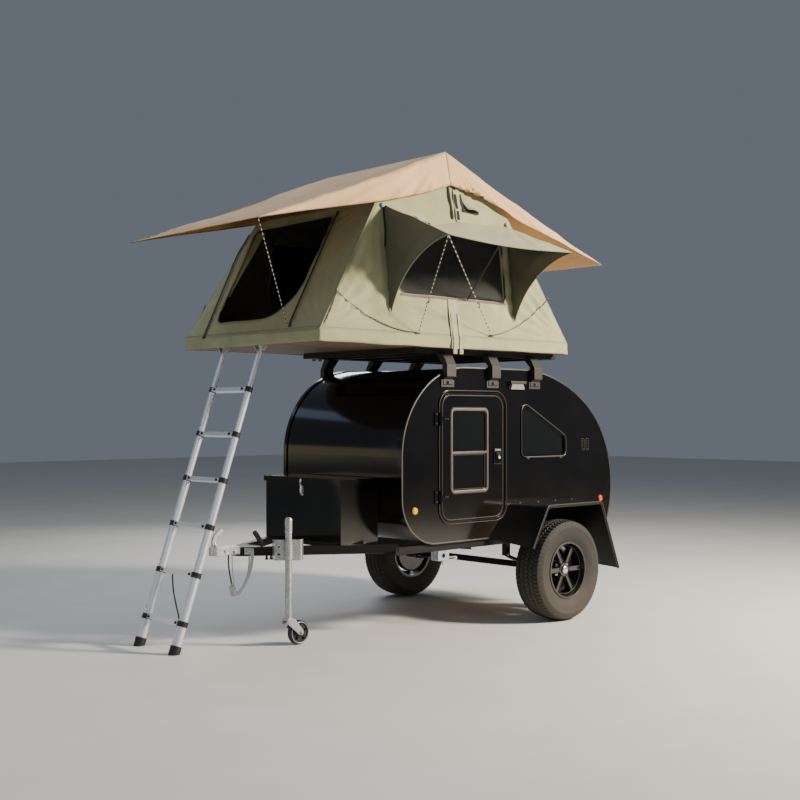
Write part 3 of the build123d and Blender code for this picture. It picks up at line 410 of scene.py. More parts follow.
def add_turned(bm, origin, axis, profile, steps=24, open_end=False):
    """Adds a solid of revolution; profile is (radius, height) in mm from low to high."""
    z = Vector(axis).normalized()
    up = Vector((1, 0, 0)) if abs(z.z) > 0.98 else Vector((0, 0, 1))
    x = up.cross(z).normalized()
    m = Matrix((x, z.cross(x), z)).transposed().to_4x4()
    m.translation = at(*origin)
    rings = []
    for r, h in profile:
        turns = [2 * pi * k / steps for k in range(steps)]
        spots = [Vector((r * cos(t) / 1000, r * sin(t) / 1000, h / 1000)) for t in turns]
        rings.append([bm.verts.new(m @ spot) for spot in spots])
    for a, b in zip(rings, rings[1:]):
        for k in range(steps):
            j = (k + 1) % steps
            bm.faces.new((a[k], a[j], b[j], b[k]))
    if not open_end:
        bm.faces.new(rings[0][::-1])
        bm.faces.new(rings[-1])


def turned(name, parts, look, body="trailer", smooth=True):
    """A piece of solids of revolution, each with the arguments that add_turned takes after bm."""
    bm = bmesh.new()
    for part in parts:
        add_turned(bm, *part)
    return from_bmesh(name, bm, look, body, smooth)


def screws(name, spots, radius, look, body="trailer"):
    """Low domed screw heads; spots are (point, axis)."""
    shape = ((1.0, 0.0), (0.96, 0.25), (0.7, 0.5), (0.28, 0.58), (0.22, 0.35))
    profile = [(radius * r, radius * h) for r, h in shape]
    return turned(name, [(origin, axis, profile, 12) for origin, axis in spots], look, body)


def hex_bolts(name, spots, radius, look, body="trailer"):
    """Hexagon heads with a washer; spots are (point, axis)."""
    washer = [(radius * 1.35, 0), (radius * 1.35, radius * 0.16)]
    head = [(radius, radius * 0.16), (radius, radius * 0.8), (radius * 0.86, radius * 0.95)]
    parts = []
    for origin, axis in spots:
        parts += [(origin, axis, washer, 20), (origin, axis, head, 6)]
    return turned(name, parts, look, body, smooth=False)


def ribbon(name, line, across, width, thick, look, body="trailer"):
    """A flat strap along points; across is its width direction."""
    verts, faces = [], []
    last = len(line) - 1
    for k, spot in enumerate(line):
        along = (Vector(line[min(k + 1, last)]) - Vector(line[max(k - 1, 0)])).normalized()
        side = Vector(across)
        side = (side - along * side.dot(along)).normalized()
        up = along.cross(side).normalized()
        for s, u in ((-1, -1), (1, -1), (1, 1), (-1, 1)):
            verts.append(tuple(Vector(spot) + side * (s * width / 2) + up * (u * thick / 2)))
    for a in range(0, 4 * last, 4):
        for i in range(4):
            j = (i + 1) % 4
            faces.append((a + i, a + j, a + 4 + j, a + 4 + i))
    n = 4 * last
    faces += [(3, 2, 1, 0), (n, n + 1, n + 2, n + 3)]
    return mesh_piece(name, verts, faces, look, body, smooth=False)


def grid(nu, nv, spot):
    """Points spot(u, v) and faces of a grid; u and v run from 0 to 1 in nu and nv steps."""
    verts = [spot(i / nu, j / nv) for i in range(nu + 1) for j in range(nv + 1)]
    corners = [i * (nv + 1) + j for i in range(nu) for j in range(nv)]
    return verts, [(a, a + 1, a + nv + 2, a + nv + 1) for a in corners]


def arc_line(cx, cz, r, a0, a1, y, steps):
    """Points of an arc in a plane across the trailer, from a0 to a1 degrees."""
    turns = [radians(between(a0, a1, k / steps)) for k in range(steps + 1)]
    return [(cx + r * cos(t), y, cz + r * sin(t)) for t in turns]


# Outlines and cloth panels


def box(x0, x1, z0, z1):
    """The corners of an upright box."""
    return [(x0, z0), (x1, z0), (x1, z1), (x0, z1)]


def inside_loop(p, loop):
    hit = False
    for (x0, y0), (x1, y1) in zip(loop, loop[1:] + loop[:1]):
        if (y0 > p[1]) != (y1 > p[1]) and p[0] < (x1 - x0) * (p[1] - y0) / (y1 - y0) + x0:
            hit = not hit
    return hit


def loop_distance(p, loop):
    best = 1e9
    for (x0, y0), (x1, y1) in zip(loop, loop[1:] + loop[:1]):
        dx, dy = x1 - x0, y1 - y0
        t = clamp(((p[0] - x0) * dx + (p[1] - y0) * dy) / (dx * dx + dy * dy or 1.0))
        best = min(best, hypot(p[0] - x0 - t * dx, p[1] - y0 - t * dy))
    return best


def divided(loop, step):
    """A closed loop with points no further apart than step."""
    found = []
    for (x0, y0), (x1, y1) in zip(loop, loop[1:] + loop[:1]):
        n = max(1, int(hypot(x1 - x0, y1 - y0) / step + 0.5))
        found += [(x0 + (x1 - x0) * k / n, y0 + (y1 - y0) * k / n) for k in range(n)]
    return found


def closed(loop):
    """The loop as a line that ends where it starts."""
    return loop + loop[:1]


def rounded(corners, radii, steps=8):
    """A closed loop with rounded corners."""
    loop = []
    n = len(corners)
    for k in range(n):
        p = Vector(corners[k])
        a = (Vector(corners[k - 1]) - p).normalized()
        b = (Vector(corners[(k + 1) % n]) - p).normalized()
        half = a.angle(b) / 2
        r = radii[k] if isinstance(radii, (list, tuple)) else radii
        cut = r / max(1e-6, sin(half) / cos(half))
        start, end = p + a * cut, p + b * cut
        middle = p + (a + b).normalized() * (r / sin(half))
        a0 = atan2(start.y - middle.y, start.x - middle.x)
        a1 = atan2(end.y - middle.y, end.x - middle.x)
        turn = (a1 - a0 + pi) % (2 * pi) - pi
        for i in range(steps + 1):
            t = a0 + turn * i / steps
            loop.append((middle.x + r * cos(t), middle.y + r * sin(t)))
    return loop


def flat_mesh(edge, holes, step):
    """Points and triangles that fill a closed edge and leave its holes open."""
    loops = [edge] + holes
    clear, row_step, least_area = 0.45 * step, 0.87 * step, 0.01 * step * step
    spots, borders = [], []
    for loop in loops:
        fine = divided(loop, step)
        start = len(spots)
        spots += fine
        borders += [(start + k, start + (k + 1) % len(fine)) for k in range(len(fine))]

    def covered(p):
        return inside_loop(p, edge) and not any(inside_loop(p, h) for h in holes)

    x0, x1 = min(p[0] for p in edge), max(p[0] for p in edge)
    y, y1 = min(p[1] for p in edge) + step * 0.5, max(p[1] for p in edge)
    row = 0
    while y < y1:
        x = x0 + step * (0.5 if row % 2 else 1.0)
        while x < x1:
            if covered((x, y)) and all(loop_distance((x, y), loop) > clear for loop in loops):
                spots.append((x, y))
            x += step
        y += row_step
        row += 1
    found = geometry.delaunay_2d_cdt([Vector(p) for p in spots], borders, [], 0, 1e-4)
    points = [(v.x, v.y) for v in found[0]]
    triangles = []
    for f in found[2]:
        (ax, ay), (bx, by), (cx, cy) = (points[i] for i in f)
        sliver = abs((bx - ax) * (cy - ay) - (cx - ax) * (by - ay)) < least_area
        if not sliver and covered(((ax + bx + cx) / 3, (ay + by + cy) / 3)):
            triangles.append(tuple(f))
    used = sorted({i for f in triangles for i in f})
    place = {old: new for new, old in enumerate(used)}
    return [points[i] for i in used], [tuple(place[i] for i in f) for f in triangles]


def thicken(obj, thick, outward=None, inner=None):
    """Gives a sheet its thickness, and on the side that outward doesn't see a copy of the sheet's colour with
    painted shade, on the fly with painted light shining through as well.
    """
    m = obj.modifiers.new("cloth", "SOLIDIFY")
    m.thickness = thick / 1000
    m.offset = 0.0
    if inner:
        facing = Vector()
        for face in obj.data.polygons:
            facing += face.normal * face.area
        if facing.dot(Vector(outward)) < 0:
            obj.data.flip_normals()
        obj.data.materials.append(PAINT[inner])
        m.material_offset = 1
    return obj


def cloth(name, edge, holes, step, spot, look, thick=1.6, outward=None, inner=None):
    """A cloth panel: spot(p, q) gives the drawing point for a point of the flat pattern."""
    points, triangles = flat_mesh(edge, holes, step)
    obj = mesh_piece(name, [spot(p, q) for p, q in points], triangles, look)
    return thicken(obj, thick, outward, inner)


def canvas(name, edge, holes, step, spot, outward):
    # The inner side takes the canvas darkened to 0.30: painted shade.
    return cloth(name, edge, holes, step, spot, "canvas_green", outward=outward, inner="canvas_lining")


def folds(p, q, corner, reach, depth, count, phase=0.0):
    """Folds that fan out from a corner and fade near it and with distance."""
    dx, dy = p - corner[0], q - corner[1]
    r = hypot(dx, dy)
    return depth * exp(-((r / reach) ** 2)) * min(1.0, (r / 280) ** 1.5) * sin(count * atan2(dy, dx) + phase)


def fold_sum(p, q, *rows):
    """The folds of several corners together, a row for each with what folds takes after p and q."""
    return sum(folds(p, q, *row) for row in rows)


def crinkle(x, y, z, size, depth):
    """A smooth unevenness, up to depth millimetres in waves of about size millimetres."""
    return depth * noise.noise(Vector((x / size, y / size, z / size)))


# Stage, camera, lights


def build_stage():
    data = bpy.data.meshes.new("floor")
    s = 30.0
    data.from_pydata([(x, y, -0.002) for x, y in ((-s, -s), (s, -s), (s, s), (-s, s))], [], [(0, 1, 2, 3)])
    floor = bpy.data.objects.new("floor", data)
    bpy.context.scene.collection.objects.link(floor)
    p = Paint("floor_pale", (0.66, 0.66, 0.65), rough=0.85)
    p.colors(p.noise(2.0, 4.0), (0.3, (0.64, 0.64, 0.63)), (0.7, (0.68, 0.68, 0.67)))
    data.materials.append(PAINT["floor_pale"])

    world = bpy.data.worlds.new("studio")
    bpy.context.scene.world = world
    world.use_nodes = True
    sky = world.node_tree.nodes["Background"].inputs
    sky["Color"].default_value = (0.72, 0.84, 1.0, 1.0)
    sky["Strength"].default_value = 0.18

    for name, place, aim, size, high, power, color in (
        ("key_light", (-4.2, 6.2, 4.6), (0.0, 0.0, 1.6), 1.2, 1.2, 1560.0, (1.0, 0.89, 0.73)),
        ("fill_light", (6.5, 1.5, 4.0), (0.4, 0.0, 1.4), 4.0, 4.0, 40.0, (0.78, 0.92, 1.0)),
        ("top_light", (0.5, -1.5, 6.5), (0.0, 0.0, 1.5), 4.5, 4.5, 130.0, (0.90, 0.96, 1.0)),
        ("back_light", (-4.0, -6.0, 4.0), (0.0, 0.0, 1.5), 3.0, 3.0, 150.0, (1.0, 0.98, 0.95)),
        ("strip_low", (4.7, -4.2, 1.40), (0.4, 0.0, 1.3), 6.5, 0.9, 15.0, (1.0, 0.80, 0.45)),
        ("strip_high", (3.4, -4.2, 4.5), (0.4, 0.0, 1.5), 6.5, 0.7, 13.0, (0.55, 0.75, 1.0)),
    ):
        light = bpy.data.lights.new(name, "AREA")
        light.shape = "RECTANGLE"
        light.size = size
        light.size_y = high
        light.energy = power
        light.color = color
        lamp = bpy.data.objects.new(name, light)
        lamp.location = place
        lamp.rotation_euler = (Vector(aim) - Vector(place)).to_track_quat("-Z", "Y").to_euler()
        bpy.context.scene.collection.objects.link(lamp)


def build_camera():
    data = bpy.data.cameras.new("camera")
    data.lens = CAMERA_LENS
    data.sensor_width = 36.0
    data.sensor_fit = "HORIZONTAL"
    data.clip_end = 200.0
    camera = bpy.data.objects.new("camera", data)
    camera.location = at(*CAMERA_PLACE)
    camera.rotation_euler = (radians(90 + CAMERA_PITCH), 0.0, radians(CAMERA_TURN))
    bpy.context.scene.collection.objects.link(camera)
    bpy.context.scene.camera = camera


# Hanging cords of the drawbar and ladder


def build_cords():
    down = (2352, 0, 590)
    run = [down, (2352, 0, 538), (2350, 4, 488), (2341, 5, 444), (2330, 5, 400)]
    tow = lines_piece("tow_cable_run", [run], 5.0, "cord_black", curved=True)
    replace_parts(tow, "tow_cable")
    route = [
        (2232, 62, 584), (2232, 62, 530), (2238, 62, 480), (2252, 60, 430), (2268, 57, 385), (2286, 53, 350),
        (2304, 50, 338), (2320, 46, 348), (2328, 42, 376), (2332, 34, 424), (2336, 26, 480), (2338, 22, 534),
        (2338, 22, 590),
    ]
    safety = lines_piece("safety_cable_run", [route], 4.0, "cord_grey", curved=True)
    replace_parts(safety, "safety_cable")
    route = [
        (2606, -262, 458), (2606, -262, 400), (2600, -256, 330), (2588, -244, 250), (2574, -232, 170),
        (2562, -222, 90),
    ]
    tail = lines_piece("ladder_strap_run", [route], 5.0, "cord_black", "ladder", curved=True)
    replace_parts(tail, "ladder_strap")


# Tyres with moulded tread

TREAD_GROOVES = (-62.0, -22.0, 22.0, 62.0)
TREAD_BLOCKS = 72
TREAD_STEPS = 6


def tread_depth(y, phase):
    """How far the tread is cut in at width y; phase counts the steps along one block of it."""
    zig = 3.2 if phase < 3 else -3.2
    grooved = any(abs(y - groove - zig) < 4.6 for groove in TREAD_GROOVES)
    cut = 0.0
    if abs(y) > 66 and phase in (0, 1):
        cut = 6.5
    elif 27 < abs(y) < 57 and phase == 3 or abs(y) < 17 and phase == 0:
        cut = 4.0
    return 8.0 if grooved else cut


def build_tyre(side, tag):
    section = [
        (200, -87), (206, -93), (214, -97), (226, -102), (244, -110), (262, -115), (281, -118), (300, -119.6),
        (306, -121), (312, -121.5), (318, -120.5), (326, -117), (335, -112.5), (346, -107), (354, -101),
    ]
    widths = [3.2 * k - 96.0 for k in range(61)]
    crown = [(TYRE_R - 2.0 - 9.0 * (abs(y) / 96) ** 3.0, y) for y in widths]
    profile = section + crown + [(r, -v) for r, v in section[::-1]] + [(208, 73), (208, -73)]
    first, last, m = len(section), len(section) + len(crown), len(profile)
    shoulders = [*range(10, first), *range(last, last + 5)]
    n = TREAD_BLOCKS * TREAD_STEPS
    verts, faces = [], []
    for k in range(n):
        t = 2 * pi * k / n
        phase = k % TREAD_STEPS
        for i, (r, v) in enumerate(profile):
            if first <= i < last:
                r -= tread_depth(v, phase)
            elif i in shoulders and phase in (0, 1):
                r -= 3.0
            verts.append((r * sin(t), side * (HALF_TRACK + v), TYRE_R + r * cos(t)))
        a, b = k * m, ((k + 1) % n) * m
        for i in range(m):
            j = (i + 1) % m
            quad = (a + i, a + j, b + j, b + i)
            faces.append(quad if side > 0 else quad[::-1])
    obj = mesh_piece("tyre_tread_" + tag, verts, faces, "rubber_black", "wheel_" + tag)
    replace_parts(obj, "tyre_" + tag)
    obj.modifiers.new("split", "EDGE_SPLIT").split_angle = radians(40)


# Tent


def wall_share(z):
    """How far up the end walls and gables height z lies, from 0 at the skirt to 1 at the shoulder."""
    return (z - SKIRT_TOP) / (SHOULDER_Z - SKIRT_TOP)


def gable_half(z):
    """How far the canvas stands from the middle plane at height z."""
    if z < SHOULDER_Z:
        return between(TENT_HALF, SHOULDER_HALF, wall_share(z))
    return between(SHOULDER_HALF, RIDGE_HALF, (z - SHOULDER_Z) / (RIDGE_Z - SHOULDER_Z))


def front_spot(y, s, lift=0.0, wave=True):
    """A point of the front wall; y across, s up the slope from 0 to 1."""
    d = lift
    if wave:
        half = between(TENT_HALF, SHOULDER_HALF, s)
        u = y / half
        q = s * WALL_SLOPE
        bulge = -9.0 * (1 - u * u) * sin(pi * s) + crinkle(y, q, 0, 240, 6.0) + crinkle(y, q, 5, 70, 1.6)
        bulge += fold_sum(
            y, q,
            ((half, WALL_SLOPE), 420, 8.0, 30, 0.4),
            ((TENT_HALF, 0), 340, 8.0, 26, 1.0),
            ((-TENT_HALF, 0), 340, 7.0, 26, 2.0),
            ((-half, WALL_SLOPE), 360, 7.0, 26, 0.0),
        )
        d += bulge * clamp((1 - abs(u)) * 7) * clamp(s * 9) * clamp((1 - s) * 9)
    x = between(TENT_X[1], TENT_MID + SHOULDER_X, s)
    return (x + d * WALL_OUT[0], y, between(SKIRT_TOP, SHOULDER_Z, s) + d * WALL_OUT[1])


def on_front(y, z, lift=0.0, wave=True):
    """A point of the front wall at height z."""
    return front_spot(y, wall_share(z), lift, wave)


def rear_spot(y, s, lift=0.0):
    x, y, z = front_spot(y, s, lift)
    return (2 * TENT_MID - x, -y, z)


GABLE = [
    (TENT_X[0], SKIRT_TOP), (TENT_X[1], SKIRT_TOP), (TENT_MID + SHOULDER_X, SHOULDER_Z), (TENT_MID, RIDGE_Z),
    (TENT_MID - SHOULDER_X, SHOULDER_Z),
]
SCREEN = rounded(box(444, 1501, 2294, 2760), 60)
# The doorway's outline, as distance from the middle and height
DOORWAY = rounded([(-474, 2122), (336, 2122), (270, 2840), (-600, 2830)], [95, 250, 40, 40], 12)


def corner_creases(x, z):
    """How far the canvas bulges and creases along its sloping front and rear corners."""
    total = 0.0
    for k, px in enumerate((x, 2 * TENT_MID - x)):
        off = (TENT_X[1] - px) * 0.8440 + (SKIRT_TOP - z) * 0.5364
        along = (TENT_X[1] - px) * 0.5364 + (z - SKIRT_TOP) * 0.8440
        if 0 < off < 300 and 0 < along < WALL_SLOPE:
            near = min(1.0, off / 50) * exp(-((off / 120) ** 2)) * sin(pi * along / WALL_SLOPE)
            total += near * (8.0 + crinkle(along * 2.2 + off, off * 0.5, k * 900, 75, 9.0))
    return total


def gable_spot(x, z, side=1, lift=0.0):
    """A point of the gable's canvas, lift millimetres proud of it."""
    off = loop_distance((x, z), GABLE)
    d = fold_sum(
        x, z,
        (GABLE[1], 620, 13.0, 30, 0.6),
        (GABLE[0], 660, 14.0, 34, 0.2),
        (GABLE[2], 560, 10.0, 24, 1.0),
        (GABLE[4], 520, 11.0, 30, 0.0),
        ((1010, 2180), 420, 7.0, 14, 0.5),
    )
    d += crinkle(x, 0, z, 210, 9.0) + crinkle(x, 3, z, 80, 3.0) - 6.0 * min(1.0, off / 300)
    return (x, side * (gable_half(z) + lift + d * min(1.0, off / 90) + corner_creases(x, z)), z)


def gable_line(points, side, lift):
    """A line of X and height laid on a gable's canvas, lift millimetres proud of it."""
    return [gable_spot(x, z, side, lift) for x, z in points]


def gable_strap(name, points, side, lift, width, thick, look, across=(1, 0, 0)):
    return ribbon(name, gable_line(points, side, lift), across, width, thick, look)


def build_canvas():
    top, low = SHOULDER_HALF - 4, TENT_HALF - 4
    door = [(y, wall_share(z) * WALL_SLOPE) for y, z in DOORWAY]
    edge = [(-low, 0), (low, 0), (top, WALL_SLOPE), (-top, WALL_SLOPE)]
    for (side, name), holes, step, at_wall, area in zip(
        ENDS, ([door], []), (22, 26), (front_spot, rear_spot), (0.92, 1.45)
    ):
        wall = canvas(
            "canvas_" + name, edge, holes, step, lambda p, q: at_wall(p, q / WALL_SLOPE), (side, 0, 0.6)
        )
        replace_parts(wall, "tent_" + name + "_wall")
    inset = ((4, 0), (-4, 0), (-3, 0), (0, -4), (3, 0))
    inner = [(x + dx, z + dz) for (x, z), (dx, dz) in zip(GABLE, inset)]
    for side, name in SIDES:
        wall = canvas(
            "canvas_gable_" + name, inner, [SCREEN], 20, lambda p, q: gable_spot(p, q, side), (0, side, 0)
        )
        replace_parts(wall, "tent_gable_" + name)
        net = cloth(
            "window_net_" + name, SCREEN, [], 40, lambda p, q: gable_spot(p, q, side, -3.0), "mesh_dark", 0.8
        )
        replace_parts(net, "window_screens")
    slope = hypot(SHOULDER_X, RIDGE_Z - SHOULDER_Z)
    low, top = SHOULDER_HALF - 4, RIDGE_HALF - 3
    edge = [(-low, 0.5), (low, 0.5), (top, slope), (-top, slope)]

    for side, name in ENDS:

        def roof_spot(p, q):
            t = q / slope
            u = p / between(SHOULDER_HALF, RIDGE_HALF, t)
            sag = 16.0 * (1 - u * u) * sin(pi * min(1.0, t))
            z = between(SHOULDER_Z, RIDGE_Z, t) - max(0.0, sag)
            return (TENT_MID + side * SHOULDER_X * (1 - t), p, z)

        roof = canvas("canvas_roof_" + name, edge, [], 40, roof_spot, (0, 0, 1))
        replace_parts(roof, "tent_roof")


def build_skirt():
    """The band of canvas round the tent's base."""
    proud = 3
    corners = box(TENT_X[0] - proud, TENT_X[1] + proud, -TENT_HALF - proud, TENT_HALF + proud)
    line = divided(rounded(corners, 14, 4), 30)
    rows = (1950, 1962, 1978, 1995, 2012, 2028)

    def outward(v, straight):
        return 1 if v > straight else -1 if v < -straight else 0

    verts, faces = [], []
    m = len(rows)
    for k, (x, y) in enumerate(line):
        for i, z in enumerate(rows):
            swell = 3.0 * sin(pi * i / 5) + crinkle(x, y, z * 3, 120, 8.0) + crinkle(x, y, z, 50, 3.0)
            drop = crinkle(x, y, z, 260, 5.0) * (i == 0)
            verts.append((x + outward(x - TENT_MID, 1190) * swell, y + outward(y, 725) * swell, z + drop))
        a, b = k * m, ((k + 1) % len(line)) * m
        faces += [(a + i, b + i, b + i + 1, a + i + 1) for i in range(m - 1)]
    skirt = thicken(mesh_piece("canvas_skirt", verts, faces, "canvas_green"), 2.0)


def fly_spot(y, t, side=1):
    """A point of the fly; t runs from 0 at the ridge to 1 at the eave."""
    half = between(FLY_RIDGE_HALF, FLY_EAVE_HALF, t)
    u = max(-1.0, min(1.0, y / half))
    sag = 34.0 * (1 - u * u) * sin(pi * t) + 10.0 * sin(pi * t)
    q = t * FLY_SLOPE
    d = fold_sum(
        y, q,
        ((half, FLY_SLOPE), 800, 13.0, 26, 0.3),
        ((-half, FLY_SLOPE), 800, 13.0, 26, 1.1),
        ((FLY_RIDGE_HALF, 0), 520, 10.0, 24, 0.3),
        ((-FLY_RIDGE_HALF, 0), 520, 10.0, 24, 1.3),
    )
    d += crinkle(y, q, side, 300, 12.0) + crinkle(y, q, side, 90, 4.0)
    z = between(FLY_RIDGE_Z, FLY_EAVE_Z, t) - sag - 2 + d * clamp(t * 8) * clamp((1 - t) * 8)
    return (TENT_MID + side * FLY_EAVE_X * t, y, z)


def along_table(x, table):
    """The value between two rows of a table of pairs."""
    for (x0, v0), (x1, v1) in zip(table, table[1:]):
        if x <= x1:
            return between(v0, v1, max(0.0, (x - x0) / (x1 - x0)))
    return table[-1][1]


def valance_spot(t, q, side, hand):
    """A point of the fly's hanging edge; q runs from 0 at the slope to 1 at the lower edge."""
    half = between(FLY_RIDGE_HALF, FLY_EAVE_HALF, t)
    x, _, z = fly_spot(half, t, side)
    deep = max(3.0, z - along_table(t * FLY_EAVE_X, VALANCE_LOW[side]))
    fan = atan2(deep * q + 34.0, t * FLY_EAVE_X + 50.0)
    pinch = 1 - 2 * abs(sin(15.0 * fan + side))
    ripple = (26.0 * pinch + 10.0 * sin(44.0 * fan + 2 * side)) * min(1.0, t * 9) * (1 - t) * q
    ripple += (crinkle(x, z, hand, 130, 22.0) + 20.0 * min(1.0, t * 9)) * q * (1 - t)
    ripple = max(ripple, 0.25 * ripple)
    drift = -PEAK_DRIFT * q * (1 - t) ** 3
    return (x + drift, hand * (half + ripple + 8.0 * q * (1 - t)), z - deep * q)


def build_fly():
    ridge, eave = FLY_RIDGE_HALF, FLY_EAVE_HALF
    edge = [(-ridge, 0), (ridge, 0), (eave, FLY_SLOPE), (-eave, FLY_SLOPE)]
    for side, name in ENDS:
        # The fly's slopes and hanging edges take the darker, more orange tan on their undersides: painted shade
        # with painted light shining through.
        slope = cloth(
            "fly_" + name, edge, [], 28, lambda p, q: fly_spot(p, q / FLY_SLOPE, side), "fly_tan",
            outward=(0, 0, 1), inner="fly_under",
        )
        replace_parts(slope, "tent_fly")
        for hand, tag in SIDES:
            verts, faces = grid(90, 8, lambda t, q: valance_spot(t, q, side, hand))
            strip = mesh_piece("fly_edge_" + name + "_" + tag, verts, faces, "fly_tan")
            thicken(strip, 1.6, (0, hand, 0), "fly_under")
            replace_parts(strip, "tent_fly")
            hem = [valance_spot(k / 45, 1.0, side, hand) for k in range(46)]
            lines_piece("fly_hem_" + name + "_" + tag, [hem], 3.0, "fly_binding")
    seam = [fly_spot(y, 0.0) for y in range(-636, 637, 53)]
    lines_piece("fly_ridge_seam", [[(x, y, z - 1) for x, y, z in seam]], 3.0, "fly_tan")
    drops = [[valance_spot(0.0, q / 8, 1, hand) for q in range(9)] for hand, _ in SIDES]
    lines_piece("fly_peak_seams", drops, 2.5, "fly_binding")


def arc_through(a, b, c, steps):
    """Points of the arc from a through b to c."""
    ax, ay, bx, by, cx, cy = *a, *b, *c
    d = 2 * (ax * (by - cy) + bx * (cy - ay) + cx * (ay - by))
    sa, sb, sc = ax * ax + ay * ay, bx * bx + by * by, cx * cx + cy * cy
    ux = (sa * (by - cy) + sb * (cy - ay) + sc * (ay - by)) / d
    uy = (sa * (cx - bx) + sb * (ax - cx) + sc * (bx - ax)) / d
    r = hypot(ax - ux, ay - uy)
    t0, t1 = atan2(ay - uy, ax - ux), atan2(cy - uy, cx - ux)
    turn = (t1 - t0 + pi) % (2 * pi) - pi
    turns = [t0 + turn * k / steps for k in range(steps + 1)]
    return [(ux + r * cos(t), uy + r * sin(t)) for t in turns]


def awning_roof(p, v):
    """A point of the open awning's roof; v runs from 0 at the gable to 1 at the outer edge."""
    u = (p - AWNING_X[0]) / (AWNING_X[1] - AWNING_X[0])
    root_z = along_table(p, AWNING_ROOT)
    y = between(gable_half(root_z) + 5.0, AWNING_EDGE[0] - 14.0 * sin(pi * u), v)
    z = between(root_z, AWNING_EDGE[1] - 20.0 * sin(pi * u), v)
    q = v * 650
    swell = fold_sum(p, q, ((AWNING_X[1], 0), 520, 12.0, 16, 0.7), ((AWNING_X[0], 0), 520, 12.0, 16, 0.2))
    swell += crinkle(p, q, 1, 170, 10.0) - 20.0 * sin(pi * u)
    return (p, y, z + swell * sin(pi * v))


def build_awning_cheeks(rim):
    """The two curved ends of the open awning; rim is their free edge."""
    for edge_x, tag, lean in ((AWNING_X[1], "front", -1), (AWNING_X[0], "rear", 1)):
        upper = [awning_roof(edge_x, k / 12)[1:] for k in range(13)]
        heights = [between(AWNING_LOW_Z, upper[0][1], k / 14) for k in range(1, 14)]
        loop = upper + rim[1:] + [(gable_half(z) - 16.0, z) for z in heights]

        def spot(y, z):
            off_wall = max(0.0, y - gable_half(z) - 6.0)
            free = min(1.0, loop_distance((y, z), loop) / 90) * min(1.0, off_wall / 60)
            bow = 22.0 * lean + 5.0 * sin((y * 0.55 + z * 0.84) / 38) + crinkle(y * 0.5, z, edge_x, 190, 16.0)
            return (edge_x + bow * free, y, z)

        # Both sides of each cheek are in the canvas darkened to 0.30: painted shade.
        cheek = cloth("awning_cheek_" + tag, loop, [], 18, spot, "canvas_lining")
        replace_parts(cheek, "side_awnings")


def build_open_awning():
    """The open awning over the left window, with its hems, ties and rods."""
    x0, x1 = AWNING_X
    pattern = box(x0, x1, 0, AWNING_DEPTH)
    top = canvas("awning_roof", pattern, [], 22, lambda p, q: awning_roof(p, q / AWNING_DEPTH), (0, 0, 1))
    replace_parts(top, "side_awnings")
    rim = arc_through(*CHEEK_RIM, 18)
    build_awning_cheeks(rim)
    hems = [[awning_roof(between(x0, x1, k / 24), 1.0) for k in range(25)]]
    hems += [[(x, y, z) for y, z in rim] for x in AWNING_X]
    lines_piece("awning_hems", hems, 3.4, "canvas_seam")
    for k, (p0, p1) in enumerate(((1492.0, 1430.0), (1388.0, 1268.0))):
        run = []
        for i in range(7):
            x, y, z = awning_roof(between(p0, p1, i / 6), 0.30 - 0.03 * k + 0.03 * sin(i))
            run.append((x, y, z + 6.0 + 7.0 * sin(pi * i / 6)))
        ribbon("awning_tie_" + str(k + 1), run, (0, 1, -0.4), 20, 2.4, "strap_black")
    feet = [(x, gable_half(z) + 6, z) for x, z in ((856.0, 2290.0), (478.0, 2296.0))]
    rods = [[awning_roof(1098.0, 0.985), foot] for foot in feet]
    lines_piece("awning_rods", rods, 5.5, "rubber_seal")


def build_shut_awning():
    """The closed awning on the right gable, with its hem and zips."""
    flap = box(*AWNING_X, AWNING_LOW_Z, AWNING_TOP_Z)
    shut = cloth("awning_shut", flap, [], 26, lambda p, q: gable_spot(p, q, -1, 7.0), "canvas_green", 2.0)
    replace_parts(shut, "side_awnings")
    hem = gable_line(closed(divided(flap, 26)), -1, 8.5)
    lines_piece("awning_shut_hem", [hem], 3.4, "canvas_seam")
    for k, x in enumerate((AWNING_X[0] + 26, AWNING_X[1] - 26)):
        line = [(x, z) for z in range(2180, 2851, 30)]
        gable_strap("awning_zip_" + str(k + 1), line, -1, 9.5, 13, 2.6, "zip_black")


def build_mattress():
    nx, ny = 46, 40
    middle, thick = 698, 48
    bm = bmesh.new()
    spots = {}
    for layer in (0, 1):
        for i in range(nx + 1):
            for j in range(ny + 1):
                u, v = i / nx, j / ny
                x, y, z = -286 + 1362 * u, -586 + 1172 * v, middle - thick
                if layer:
                    rim = min(1.0, min(u, 1 - u) * 14) * min(1.0, min(v, 1 - v) * 14)
                    z = middle + thick * sqrt(rim) + 1.5 * sin(u * pi) + crinkle(x, y, 0, 90, 3.0) * rim
                spots[layer, i, j] = bm.verts.new(at(x, y, z))

    def quad(corners, flip):
        verts = [spots[corner] for corner in corners]
        bm.faces.new(verts[::-1] if flip else verts)

    for layer in (0, 1):
        for i in range(nx):
            for j in range(ny):
                quad(((layer, i, j), (layer, i + 1, j), (layer, i + 1, j + 1), (layer, i, j + 1)), not layer)
    for i in range(nx):
        for j in (0, ny):
            quad(((0, i, j), (0, i + 1, j), (1, i + 1, j), (1, i, j)), j)
    for j in range(ny):
        for i in (0, nx):
            quad(((0, i, j), (0, i, j + 1), (1, i, j + 1), (1, i, j)), not i)
    pad = from_bmesh("mattress_pad", bm, "bedding")
    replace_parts(pad, "cabin_mattress")


# Body fittings


def box_loop(x0, x1, z0, z1, r):
    """A rounded upright box as a closed line of X and height."""
    return closed(rounded(box(x0, x1, z0, z1), r))


def on_wall(loop, side, out):
    """A line of X and height laid on a side wall, out millimetres proud of it."""
    return [(x, side * (BODY_HALF + out), z) for x, z in loop]


